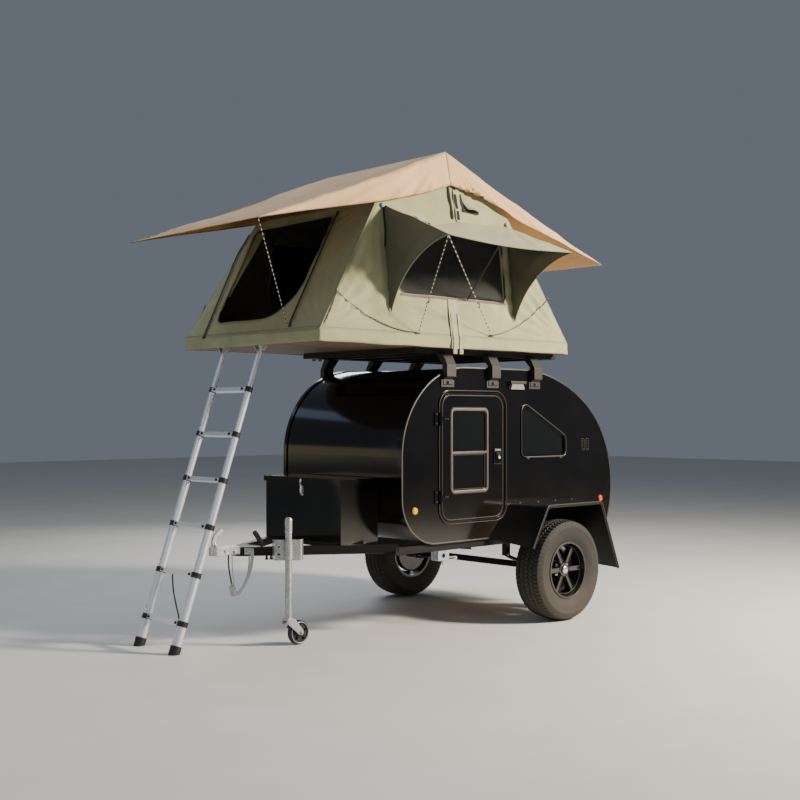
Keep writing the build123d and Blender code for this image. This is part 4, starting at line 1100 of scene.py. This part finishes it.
def build_lamps():
    """Domed side markers, tail lamps and the hoods over the porch lamps."""
    dome = [(25.0, 1), (25.0, 6.5), (23.2, 10.6), (18, 13.8), (9.5, 15.6), (0.6, 16.2)]
    rim = [(27, 0), (27, 2.5), (26.2, 4.0), (25.2, 4.0), (25.2, 1)]
    for color, x, z in (("amber", 1288.0, 848.0), ("red", -740.0, 841.0)):
        node = "amber_markers" if color == "amber" else "red_lamps"
        for side, tag in SIDES:
            spot, out = (x, side * BODY_HALF, z), (0, side, 0)
            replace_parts(turned("marker_" + color + "_" + tag, [(spot, out, dome, 32)], "lens_" + color), node)
            ring = turned("marker_rim_" + color + "_" + tag, [(spot, out, rim, 32, True)], "rubber_seal")
            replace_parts(ring, node)
    for side, tag in SIDES:
        low, high = span(side, 432, 558)
        base = blocks("tail_lamp_base_" + tag, [(-868, -824, low, high, 684, 734)], "plastic_black")
        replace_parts(base, "red_lamps")
        middle = (low + high) / 2
        for part, y0, y1 in (("inner", low + 4, middle - 1.5), ("outer", middle + 1.5, high - 4)):
            shape = (-879, -867, y0, y1, 688, 730)
            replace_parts(blocks("tail_lens_" + part + "_" + tag, [shape], "lens_red", soft=3.0), "red_lamps")
        hood = (174, 344, *span(side, BODY_HALF, BODY_HALF + 35), 1721, 1740)
        blocks("porch_hood_" + tag, [hood], "plastic_black", soft=3.0)


def build_doors(side, tag):
    """Beads, seals, hinge screws, latch parts and the sliding pane's frame on a door."""
    leaf = "door_" + tag + "_leaf"
    out = (0, side, 0)
    # The frame bead and the leaf bead are real beads in a grey lighter than the black paint round them; their
    # lighter grey is a painted highlight along the door's edges.
    for part, body, outline, lift, radius, look in (
        ("frame_bead_painted_highlight", "trailer", (366, 1056, 739, 1664, 114), 6.0, 3.2, "rack_grey"),
        ("seal", "trailer", (390.8, 1037.2, 752.8, 1644.2, 94), -1.5, 1.7, "rubber_seal"),
        ("leaf_bead", leaf, (405, 1023, 767, 1630, 82), 1.0, 4.2, "rack_grey"),
        ("pane_bead", leaf, (557, 945, 945, 1546, 44), 1.5, 3.6, "rubber_seal"),
        ("slider_frame", leaf, (590, 912, 976, 1214, 14), -5.0, 4.0, "rubber_seal"),
    ):
        line = on_wall(box_loop(*outline), side, lift)
        lines_piece("door_" + part + "_" + tag, [line], radius, look, body)
    fixed, moving = [], []
    for z in (930.0, 1467.0):
        fixed += [((1082, side * (BODY_HALF + 8), z + dz), out) for dz in (-32.0, 32.0)]
        moving += [((1052 + dx, side * (BODY_HALF + 22), z), out) for dx in (-64.0, -44.0)]
    screws("hinge_screws_" + tag, fixed, 6.0, "rack_grey")
    screws("hinge_strap_screws_" + tag, moving, 5.5, "rack_grey", leaf)
    lock = [(11, 0), (11, 2.5), (9, 3.6), (3.2, 3.6), (3.0, 2.4)]
    turned("door_lock_" + tag, [((455, side * (BODY_HALF + 16), 1190), out, lock)], "bright_steel", leaf)
    bar = (436, 490, *span(side, BODY_HALF + 8, BODY_HALF + 13), 1238, 1247)
    blocks("door_latch_bar_" + tag, [bar], "bright_steel", leaf, 1.8)
    line = on_wall(box_loop(427, 496, 1143, 1252, 10), side, 8.0)
    lines_piece("door_latch_edge_" + tag, [line], 1.8, "rack_grey", leaf, curved=True)
    proud = span(side, BODY_HALF + 15.5, BODY_HALF + 19)
    ribs = [(441, 482, *proud, 1208 + 6 * k, 1210.4 + 6 * k) for k in range(4)]
    blocks("door_latch_ribs_" + tag, ribs, "plastic_black", leaf)


def build_side_trim(side, tag):
    """Quarter window rail and catches, vent rims and louvres."""
    window = closed(rounded([(200, 1180), (200, 1602), (-315, 1336), (-315, 1180)], 50, 10))
    lines_piece("quarter_bead_" + tag, [on_wall(window, side, 7.0)], 3.0, "edge_metal")
    rail = on_wall([(168, 1185), (-282, 1185)], side, 11)
    lines_piece("quarter_rail_" + tag, [rail], 4.5, "edge_metal")
    proud = span(side, BODY_HALF, BODY_HALF + 13)
    feet = [(x - 14, x + 14, *proud, 1168, 1184) for x in (130.0, -244.0)]
    blocks("quarter_rail_feet_" + tag, feet, "rack_grey", soft=2.0)
    sunk = span(side, BODY_HALF - 30, BODY_HALF - 16)
    catches = []
    for x in (96.0, -168.0):
        catches += [(x - 16, x + 16, *sunk, 1204, 1216), (x - 5, x + 5, *sunk, 1216, 1240)]
    blocks("quarter_catches_" + tag, catches, "bright_steel", soft=1.5)
    sunk = span(side, BODY_HALF - 7, BODY_HALF - 1)
    rims, louvres = [], []
    for x in (-582.0, -532.0):
        rims.append(on_wall(box_loop(x - 17, x + 17, 1222, 1312, 16.9), side, 0.8))
        louvres += [(x - 14, x + 14, *sunk, 1233 + 12 * k, 1236 + 12 * k) for k in range(6)]
    lines_piece("vent_rims_" + tag, rims, 2.2, "rack_grey", curved=True)
    blocks("vent_louvres_" + tag, louvres, "plastic_black")


def build_hatch_trim():
    """Seals beside the hatch, and the hinges' screws."""
    roof_x, roof_z = 194, 530
    hinge_r = 1302
    turn = radians(113.93)
    reach = 30
    lines = []
    for y in (602.2, -602.2):
        line = arc_line(roof_x, roof_z, hinge_r - 14, 114.8, 125, y, 8)
        lines.append(line + arc_line(-107.1, 960, 763, 125.5, 196, y, 36))
    lines_piece("hatch_seals", lines, 1.7, "rubber_seal")

    def beside_hinge(y, along):
        """A screw's place and direction, at Y and along the roof from the hinge's pivot."""
        x, z = roof_x + hinge_r * cos(turn), roof_z + hinge_r * sin(turn)
        return ((x - sin(turn) * along, y, z + cos(turn) * along), (cos(turn), 0, sin(turn)))

    hinges = (-400.0, 0.0, 400.0)
    moving = [beside_hinge(y + dy, reach) for y in hinges for dy in (-38.0, 0.0, 38.0)]
    fixed = [beside_hinge(y + dy, -reach) for y in hinges for dy in (-71.0, 71.0)]
    screws("hatch_hinge_screws", moving, 6.5, "bright_steel", "hatch")
    screws("roof_hinge_screws", fixed, 6.0, "bright_steel")


def build_fenders(side, tag):
    """A rolled bead along a mudguard's outer edge, in a grey lighter than the mudguard as a painted highlight,
    and its bolts.
    """
    top = 850
    ends, steps = 0.01, 8
    line = [(442, 560), (274, top), (-347, top), (-556, 339)]
    bent = rounded(line, [ends, 44, 44, ends], steps)[steps:-steps]
    run = [(x, side * 954, z) for x, z in bent]
    # The bead is a real rolled edge; its grey, lighter than the mudguard, is a painted highlight.
    lines_piece("fender_bead_painted_highlight_" + tag, [run], 4.5, "rack_grey", round_steps=4)
    bolts = [((x, side * 664, top), (0, 0, 1)) for x in (245.0, 45.0, -155.0, -350.0)]
    hex_bolts("fender_bolts_" + tag, bolts, 7.0, "bright_steel")


def build_wheels(side, tag):
    """Rim lip and step rings and spoke ridges, in a grey that paints highlights on the black rim, nuts, centre
    cap and valve of a wheel.
    """
    body = "wheel_" + tag
    out = (0, side, 0)

    def on_rim(r, off, turn, proud):
        """A point r from the axle and off to the side of a ray, proud of the wheel's middle plane."""
        x, z = r * cos(turn) - off * sin(turn), r * sin(turn) + off * cos(turn)
        return (x, side * (HALF_TRACK + proud), TYRE_R + z)

    # Raised ridges along the spokes' edges, in a grey lighter than the black rim: real ridges with a painted
    # highlight.
    lines = []
    for k in range(6):
        for off in (-12.5, 12.5):
            ridge = ((58, 61), (110, 61.6), (174, 62))
            lines.append([on_rim(r, off, radians(60 * k), proud) for r, proud in ridge])
    lines_piece("spoke_ridges_painted_highlight_" + tag, lines, 3.0, "rack_grey", body)
    # Thin rings at the rim's lip and step, in the same grey: painted highlight lines on the black rim.
    for part, r, proud, radius in (("lip", 205, 98, 3.2), ("step", 176, 66, 2.4)):
        ring = [on_rim(r, 0, 2 * pi * k / 72, proud) for k in range(73)]
        lines_piece("rim_" + part + "_" + tag, [ring], radius, "rack_grey", body)
    turns = [radians(60 * k + 30) for k in range(6)]
    seats = [(on_rim(66, 0, t, -42), out, [(15, 0), (13.5, 70), (11.5, 73)], 20) for t in turns]
    turned("lug_seats_" + tag, seats, "rim_black", body)
    hex_bolts("lug_nuts_" + tag, [(on_rim(66, 0, t, 31), out) for t in turns], 9.5, "bright_steel", body)
    cap = [(31, 0), (31, 3), (28, 7), (20, 10.5), (10, 12.2), (0.6, 12.8)]
    turned("hub_cap_" + tag, [(on_rim(0, 0, 0, 67), out, cap, 36)], "bright_steel", body)
    stem = [(5, 0), (4, 8), (3.6, 24), (4.4, 25), (4.4, 33), (3, 34.5)]
    lean = (-0.6 * cos(pi / 6), side * 0.8, -0.6 * sin(pi / 6))
    turned("valve_stem_" + tag, [(on_rim(168, 0, pi / 6, 60), lean, stem, 12)], "rubber_seal", body)


def build_front_box():
    """The draw latch with its hook on the lid, and the lid's hinge screws."""
    face = 1742.0
    plate = [
        (face, face + 3, -13, 13, 944, 1012),
        (face + 3, face + 12, -12, -9, 958, 978),
        (face + 3, face + 12, 9, 12, 958, 978),
    ]
    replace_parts(blocks("latch_base", plate, "bright_steel", soft=1.0), "box_latches")
    lever = [(face + out, 0, z) for out, z in ((9, 962), (13, 976), (11, 992), (9, 1006), (12, 1016))]
    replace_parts(ribbon("latch_lever", lever, (0, 1, 0), 17, 2.4, "bright_steel"), "box_latches")
    bail = [[(face + 9, s * 9, 966), (face + 10, s * 8, 1000), (face + 16, s * 5, 1026)] for s in (1, -1)]
    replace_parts(lines_piece("latch_bail", bail, 1.8, "bright_steel"), "box_latches")
    screws("latch_screws", [((face + 3, 0, z), (1, 0, 0)) for z in (951, 1004)], 3.4, "zinc")
    hook = [(face + out, 0, z) for out, z in ((13, 1058), (13.5, 1040), (18, 1034), (20, 1041))]
    ribbon("latch_hook", hook, (0, 1, 0), 18, 2.2, "bright_steel", "box_lid")
    bolts = [((1412, y + dy, 1034), (-1, 0, 0)) for y in (-270.0, 270.0) for dy in (-35.0, 35.0)]
    screws("box_hinge_screws", bolts, 4.5, "zinc")


LEG_ALONG = Vector((-0.8376, 0.5463, 0.0))
LEG_OUT = Vector((0.5463, 0.8376, 0.0))
JACK = (2072.0, 273.0)


def on_leg(along, out, z):
    """A point beside the drawbar's left leg, measured from where the jack stands."""
    spot = Vector((JACK[0], 164.7, 0.0)) + LEG_ALONG * along + LEG_OUT * out
    return (spot.x, spot.y, z)


def build_drawbar():
    """Bolts, clips, the cable conduit and a strap on the drawbar, coupler and jack."""
    heights, out = (600.0, 642.0), tuple(LEG_OUT)
    hex_bolts("clamp_bolts", [(on_leg(-18, 66.7, z), out) for z in heights], 9.0, "zinc")
    screws("clamp_rivets", [(on_leg(82, 66.7, z), out) for z in heights], 6.0, "zinc")
    nuts = [((2430, 0, 590), (0, 0, -1))]
    for x, y, z in ((2400, 36, 615), (2330, 43.5, 606)):
        nuts += [((x, s * y, z), (0, s, 0)) for s in (1, -1)]
    hex_bolts("coupler_bolts", nuts, 9.0, "zinc")
    pins = [((2463, s * 9, 668), (0, s, 0), [(8, 0), (8, 3), (6, 4.5)], 16) for s in (1, -1)]
    turned("coupler_pivot", pins, "bright_steel")
    under = 577
    run = [(2330, 4, 588), (2290, 6, 578)]
    run += [(x, y, under) for x, y in ((2220, 40), (2072, 138), (1760, 341), (1470, 532))]
    lines_piece("cable_conduit", [run], 6.5, "cord_black", curved=True)
    clips = []
    for t in (0.12, 0.36, 0.62, 0.86):
        spot = (between(2220, 1470, t) - 7, between(40, 532, t) + 4.6, under)
        clips.append((spot, tuple(-LEG_ALONG), [(8.4, -6), (8.4, 6)], 16))
    turned("conduit_clips", clips, "plastic_black")
    stud = [(11, 0), (11, 8), (7, 9), (7, 36)]
    studs = [(on_leg(along, 27, 552), (0, 0, 1), stud, 6) for along in (-78, -50)]
    turned("drawbar_studs", studs, "chassis_black", smooth=False)
    strap = [
        (2236, 98, 626), (2236, 103, 600), (2240, 106, 560), (2248, 104, 510), (2262, 94, 450),
        (2284, 78, 390), (2310, 60, 345), (2322, 52, 330),
    ]
    tether = ribbon("coupler_strap", strap, (-0.68, 0.73, 0.0), 22, 2.4, "plug_grey")


def build_jack():
    """Joint ring on the jack's tube, axle nuts and rings on the jockey wheel."""
    ring = [(22.6, 0), (25.6, 1.5), (25.6, 6), (24.4, 7)]
    turned("jack_collar", [((*JACK, 729), (0, 0, 1), ring, 32)], "bright_steel", "jack")
    x, z = JACK[0] - 80, 78
    nuts = [((x, JACK[1] + s * 38, z), (0, s, 0)) for s in (1, -1)]
    hex_bolts("caster_nuts", nuts, 8.5, "zinc", "caster")
    rings = [arc_line(x, z, 67, 0, 360, JACK[1] + out, 48) for out in (20.5, -20.5)]
    lines_piece("caster_rings", rings, 2.4, "zinc", "caster_wheel")


def build_running_gear():
    """Spring bolts, nuts of the axle's clamps and the bolts of rack and ladder."""
    bolts, nuts, rack, lugs = [], [], [], []
    for side, _ in SIDES:
        out = (0, side, 0)
        bolts += [((x, side * 612, 478), out) for x in (-316.0, 316.0)]
        nuts += [((x, side * y, 330), (0, 0, -1)) for x in (-44.0, 44.0) for y in (561.0, 619.0)]
        for x in (975.0, 515.0, 55.0):
            rack.append(((x, side * (BODY_HALF + 17), 1720), out))
            rack += [((x + dx, side * 592, 1914), (0, 0, -1)) for dx in (-24.0, 24.0)]
    for y in (-405.0, 7.0):
        lugs += [((2102.5, y + s * 32, 1935), (0, s, 0)) for s in (1, -1)]
    hex_bolts("spring_bolts", bolts, 10.0, "zinc")
    hex_bolts("axle_clamp_nuts", nuts, 8.0, "zinc")
    hex_bolts("rack_bolts", rack, 8.5, "rack_grey")
    hex_bolts("ladder_lug_bolts", lugs, 7.0, "zinc")


LADDER_FOOT_X = 2767.0
LADDER_Y = -199.0
RAIL_HALF = 206
FIRST_RUNG = 180
RUNG_STEP = 296
LADDER_UP = Vector((-664.5, 0.0, 1935.0)).normalized()
LADDER_OUT = Vector((LADDER_UP.z, 0.0, -LADDER_UP.x))


def on_ladder(s, y, out):
    """A point of the ladder, s up from the ground and out from the rails' middle plane."""
    spot = Vector((LADDER_FOOT_X, 0.0, 0.0)) + LADDER_UP * s + LADDER_OUT * out
    return (spot.x, LADDER_Y + y, spot.z)


def build_ladder():
    """Thumb buttons, rivets, tread ridges and foot ribs."""
    up, out = tuple(LADDER_UP), tuple(LADDER_OUT)
    buttons, rivets, ridges = [], [], []
    for k in range(6):
        s = (FIRST_RUNG + RUNG_STEP * k) / LADDER_UP.z
        for hand in (-1, 1):
            buttons.append((on_ladder(s, hand * 158, 20), out, [(9, 0), (9, 6), (7, 8.5), (0.6, 9)], 16))
            rivets.append((on_ladder(s + 60, hand * RAIL_HALF, 25.6 - 2 * k), out))
        for off in (-13.0, -4.5, 4.5, 13.0):
            ridges.append([on_ladder(s + 13.4, y, off) for y in (-168, 168)])
    turned("ladder_buttons", buttons, "plastic_black", "ladder")
    screws("ladder_rivets", rivets, 5.0, "rack_grey", "ladder")
    lines_piece("rung_ridges", ridges, 1.3, "ladder_alloy", "ladder")
    rib = [(35.6, 0), (37.8, 1.5), (37.8, 3.5), (35.6, 5)]
    ribs = [(on_ladder(s, hand * RAIL_HALF, 0), up, rib, 28) for hand in (-1, 1) for s in (24.0, 33.0, 42.0)]
    turned("ladder_foot_ribs", ribs, "plastic_black", "ladder")


# Tent fittings


def build_seams():
    """Corner piping, hems, window and doorway bindings."""
    for side, tag in SIDES:
        corners = []
        for sign, _ in ENDS:
            up = []
            for k in range(17):
                z = between(SKIRT_TOP, SHOULDER_Z, k / 16)
                x = TENT_MID + sign * between(TENT_X[1] - TENT_MID, SHOULDER_X, k / 16)
                up.append((x - sign * 2, side * (gable_half(z) - 2), z))
            for k in range(1, 9):
                z = between(SHOULDER_Z, RIDGE_Z, k / 8)
                up.append((TENT_MID + sign * SHOULDER_X * (1 - k / 8), side * (gable_half(z) - 2), z - 3))
            corners.append(up)
        lines_piece("canvas_piping_" + tag, corners, 5.0, "canvas_green")
        hem = gable_line([(x, 2038) for x in range(-195, 2184, 34)], side, 1.5)
        edge = gable_line(closed(divided(SCREEN, 30)), side, 1.5)
        lines_piece("gable_seams_" + tag, [hem], 1.8, "canvas_seam")
        lines_piece("window_binding_" + tag, [edge], 5.0, "canvas_seam")
        sill = [(x, 2286) for x in range(452, 1494, 26)]
        gable_strap("window_sill_" + tag, sill, side, 2.5, 15, 3.0, "sill_mauve", (0, 0, 1))
    rows = [[spot(y, 0.02, 1.5) for y in range(-728, 729, 26)] for spot in (front_spot, rear_spot)]
    lines_piece("end_seams", rows, 1.8, "canvas_seam")
    edge = [on_front(y, z, 1.0) for y, z in closed(divided(DOORWAY, 30))]
    lines_piece("doorway_binding", [edge], 5.0, "canvas_seam")
    for k, (y0, z0, y1, z1) in enumerate(((-509, 2032, -700, 2800), (415, 2067, 300, 2859))):
        line = [(between(y0, y1, i / 24), between(z0, z1, i / 24)) for i in range(25)]
        run = [on_front(max(8 - gable_half(z), y), z, 11.0, False) for y, z in line]
        ribbon("door_zip_" + str(k + 1), run, (0, 1, 0), 15, 3.0, "zip_black")
    pulls = []
    for y, z in ((-511, 2026), (417, 2060)):
        spot = on_front(y, z, 4.0)
        pulls.append((spot[0] - 3, spot[0] + 6, y - 14, y + 14, spot[2] - 9, spot[2] + 7))
    blocks("zip_pulls", pulls, "plastic_black", soft=2.0)


def build_door_curtain():
    """The rolled door panel gathered along the doorway's left edge, inside the front wall."""

    def spot(t, u):
        z = between(2330, 2820, t)
        edge_y = -468 - 130 * (z - 2150) / 690
        pleat = 9.0 * sin(u * 5 * pi + 3 * t) * (0.5 + 0.5 * t)
        return on_front(edge_y - 12 + (12 + 92 * t ** 1.3) * u, z, -16 + pleat, False)

    roll = thicken(mesh_piece("door_panel_gather", *grid(40, 26, spot), "canvas_green"), 1.4)


def build_awning_guys():
    """Taut guys of the awning, with their tensioners and knots."""
    tip = (AWNING_X[1] - 4, AWNING_EDGE[0] - 6, AWNING_EDGE[1] - 4)
    guys = [[tip, gable_spot(x, z, 1, 12)] for x, z in GUY_FEET]
    lines_piece("awning_guys", guys, 2.7, "cord_flecked")
    toggles, knots = [], []
    for start, foot in guys:
        p = Vector(start) + (Vector(foot) - Vector(start)) * 0.67
        axis = (Vector(foot) - Vector(start)).normalized()
        side = axis.cross(Vector((0, 1, 0))).normalized()
        shape = [(2.5, -13), (6, -9), (6.5, 0), (6, 9), (2.5, 13)]
        toggles.append((tuple(p - side * 6), tuple(axis), shape, 14))
        for lean, reach in ((0.2, 20.0), (-0.9, 17.0), (1.0, 13.0)):
            end = p + side * reach * (1 if lean > 0 else -1) + axis * reach * lean
            knots.append([tuple(p), tuple((p + end) / 2 + Vector((0, 4, 3))), tuple(end)])
    turned("guy_tensioners", toggles, "plastic_black")
    lines_piece("guy_knots", knots, 1.9, "cord_dark", curved=True)


def build_slack_cords(side, tag):
    """The slack cords along a gable, and the hooks on the skirt."""
    hooks = []
    for x, z in GUY_FEET:
        y = gable_spot(x, z, side, 12)[1]
        hooks.append((x - 22, x + 22, *sorted((y, y - side * 10)), z - 7, z + 5))
    blocks("skirt_hooks_" + tag, hooks, "plastic_black", soft=3.0)
    for name, a, b, sag in (
        ("corner", (2051, 2274), (1361, 2040), 62.0),
        ("edge", (2046, 2270), (2160, 2066), 12.0),
        ("rear", (640, 2052), (-27, 2367), 58.0),
    ):
        line = []
        for k in range(17):
            t = k / 16
            x, z = between(a[0], b[0], t), between(a[1], b[1], t) - 4 * sag * t * (1 - t)
            line.append(gable_spot(x, z, side, 8))
        cord = lines_piece("slack_cord_" + name + "_" + tag, [line], 3.0, "cord_dark", curved=True)


def build_fly_guy():
    """The fly's one guy that shows, from its front corner down to the doorway."""
    lines_piece("fly_guy", [[(2646, 712, 2660), (2175, 387, 2066)]], 2.1, "cord_flecked")


def build_vent(side, tag):
    """The vent high on a gable: strip, zips, the flap that stands off the canvas, and black strips of painted
    shade under the flap.
    """
    line = [(870 + (z - 2838) * 0.09, z) for z in (3100, 3040, 2980, 2920, 2860, 2838)]
    strip = gable_strap("vent_strip_" + tag, line, side, 6, 58, 3.0, "strap_tan")
    for k, (x, wide) in enumerate(((878.0, 26.0), (934.0, 17.0))):
        line = [(x + (z - 2850) * 0.13, z) for z in (3096, 3030, 2970, 2910, 2850)]
        gable_strap("vent_zip_" + str(k + 1) + "_" + tag, line, side, 8, wide, 3.0, "zip_black")

    def spot(u, v):
        x = 846 - 104 * u + (-46 - 26 * u) * v
        z = 3034 - 8 * u - (104 - 4 * u) * v
        return gable_spot(x, z, side, 5 + 46 * v * v * sin(pi * (0.12 + 0.76 * u)))

    flap = thicken(mesh_piece("vent_flap_" + tag, *grid(14, 8, spot), "canvas_green"), 1.6)
    # Black strips along the flap's mouth and its lifted edge: painted shade standing in for the shadow under
    # the flap.
    mouth = ((836, 2924), (800, 2926), (740, 2924), (676, 2918))
    gable_strap("vent_mouth_painted_shade_" + tag, mouth, side, 7, 24, 3.0, "strap_black", (0, 0, 1))
    gap = ((846, 3034), (838, 3000), (828, 2960), (818, 2924))
    gable_strap("vent_gap_painted_shade_" + tag, gap, side, 4, 30, 3.0, "strap_black")


def build_gable_straps(side, tag):
    """The hanging flap with its buckled straps, the toggles and the tie strap of a gable."""
    proud = 8 if side > 0 else 14
    middle = 1000
    hang = gable_line([(middle, z) for z in (2284, 2230, 2170, 2110, 2050)], side, proud)
    hang += [(middle, side * (TENT_HALF + 14), z) for z in (2010, 1975, 1945)]
    panel = ribbon("hanging_flap_" + tag, hang, (1, 0, 0), 92, 2.2, "strap_tan")
    buckles = []
    for k, x in enumerate((962.0, 1022.0)):
        run = gable_line([(x, z) for z in (2185, 2120, 2060)], side, proud + 5)
        run += [(x, side * (TENT_HALF + 20), z) for z in (2020, 1980, 1926)]
        belt = ribbon("hanging_strap_" + str(k + 1) + "_" + tag, run, (1, 0, 0), 24, 2.0, "strap_tan")
        buckles.append((x - 18, x + 18, *span(side, TENT_HALF + 16, TENT_HALF + 26), 1908, 1942))
    blocks("strap_buckles_" + tag, buckles, "strap_tan", soft=4.0)
    shape = [(15, 0), (17, 5), (14, 12), (0.6, 14)]
    pulls = [(gable_spot(x, z, side, 6), (0, side, 0), shape, 18) for x, z in ((380, 2870.0), (1600, 2866.0))]
    turned("gable_toggles_" + tag, pulls, "plug_grey")
    line = [(1584, z) for z in (2862, 2800, 2720, 2650, 2590)]
    band = gable_strap("tie_strap_" + tag, line, side, proud, 30, 2.4, "strap_black")


# The body's lower rear skin: centre x and z, radius, start and end degrees of its arcs
APRON_ARCS = ((-107.1, 960.0, 775.0, 195.2, 200.0), (-714.1, 739.1, 129.1, 200.0, 270.0))
APRON_INSET = 7.2
APRON_HALF = 603.0


def build_apron():
    """The painted sheet on the floor board's raised rear end, below the hatch."""
    row = []
    for x, z, r, a0, a1 in APRON_ARCS:
        row += arc_line(x, z, r - APRON_INSET, a0, a1, 0.0, 12)[1 if row else 0:]
    verts = [(x, y, z) for x, _, z in row for y in (-APRON_HALF, APRON_HALF)]
    faces = [(2 * k, 2 * k + 1, 2 * k + 3, 2 * k + 2) for k in range(len(row) - 1)]
    thicken(mesh_piece("rear_apron", verts, faces, "black_paint"), 0.8)


NODE_LOOK = {"rack_legs": "rack_dark"}


def dress_nodes():
    """Each CAD node that stays takes its slot's finish."""
    slots = [m.get("slot") for m in frame["record"]["materials"]]
    for name, node in frame["nodes"].items():
        if not node.data.materials:
            continue
        label = node.data.materials[0].name.split(".")[0]
        found = label if label in PAINT else None
        for s in slots:
            if s and label.startswith(s):
                found = s
        look = NODE_LOOK.get(name, found or "black_paint")
        for k in range(len(node.data.materials)):
            node.data.materials[k] = PAINT[look]


def both_sides(*builders):
    for build in builders:
        for side, tag in SIDES:
            build(side, tag)


paint_metals()
paint_plastics()
paint_boards()
paint_cloths()
paint_cords()
build_stage()
build_camera()
build_cords()
build_apron()
dress_nodes()
both_sides(build_tyre)
build_canvas()
build_skirt()
build_fly()
build_open_awning()
build_shut_awning()
build_mattress()
build_lamps()
both_sides(build_doors, build_side_trim)
build_hatch_trim()
both_sides(build_fenders, build_wheels)
build_front_box()
build_drawbar()
build_jack()
build_running_gear()
build_ladder()
build_seams()
build_door_curtain()
build_awning_guys()
both_sides(build_slack_cords)
build_fly_guy()
for side, tag in SIDES:
    build_vent(side, tag)
    build_gable_straps(side, tag)
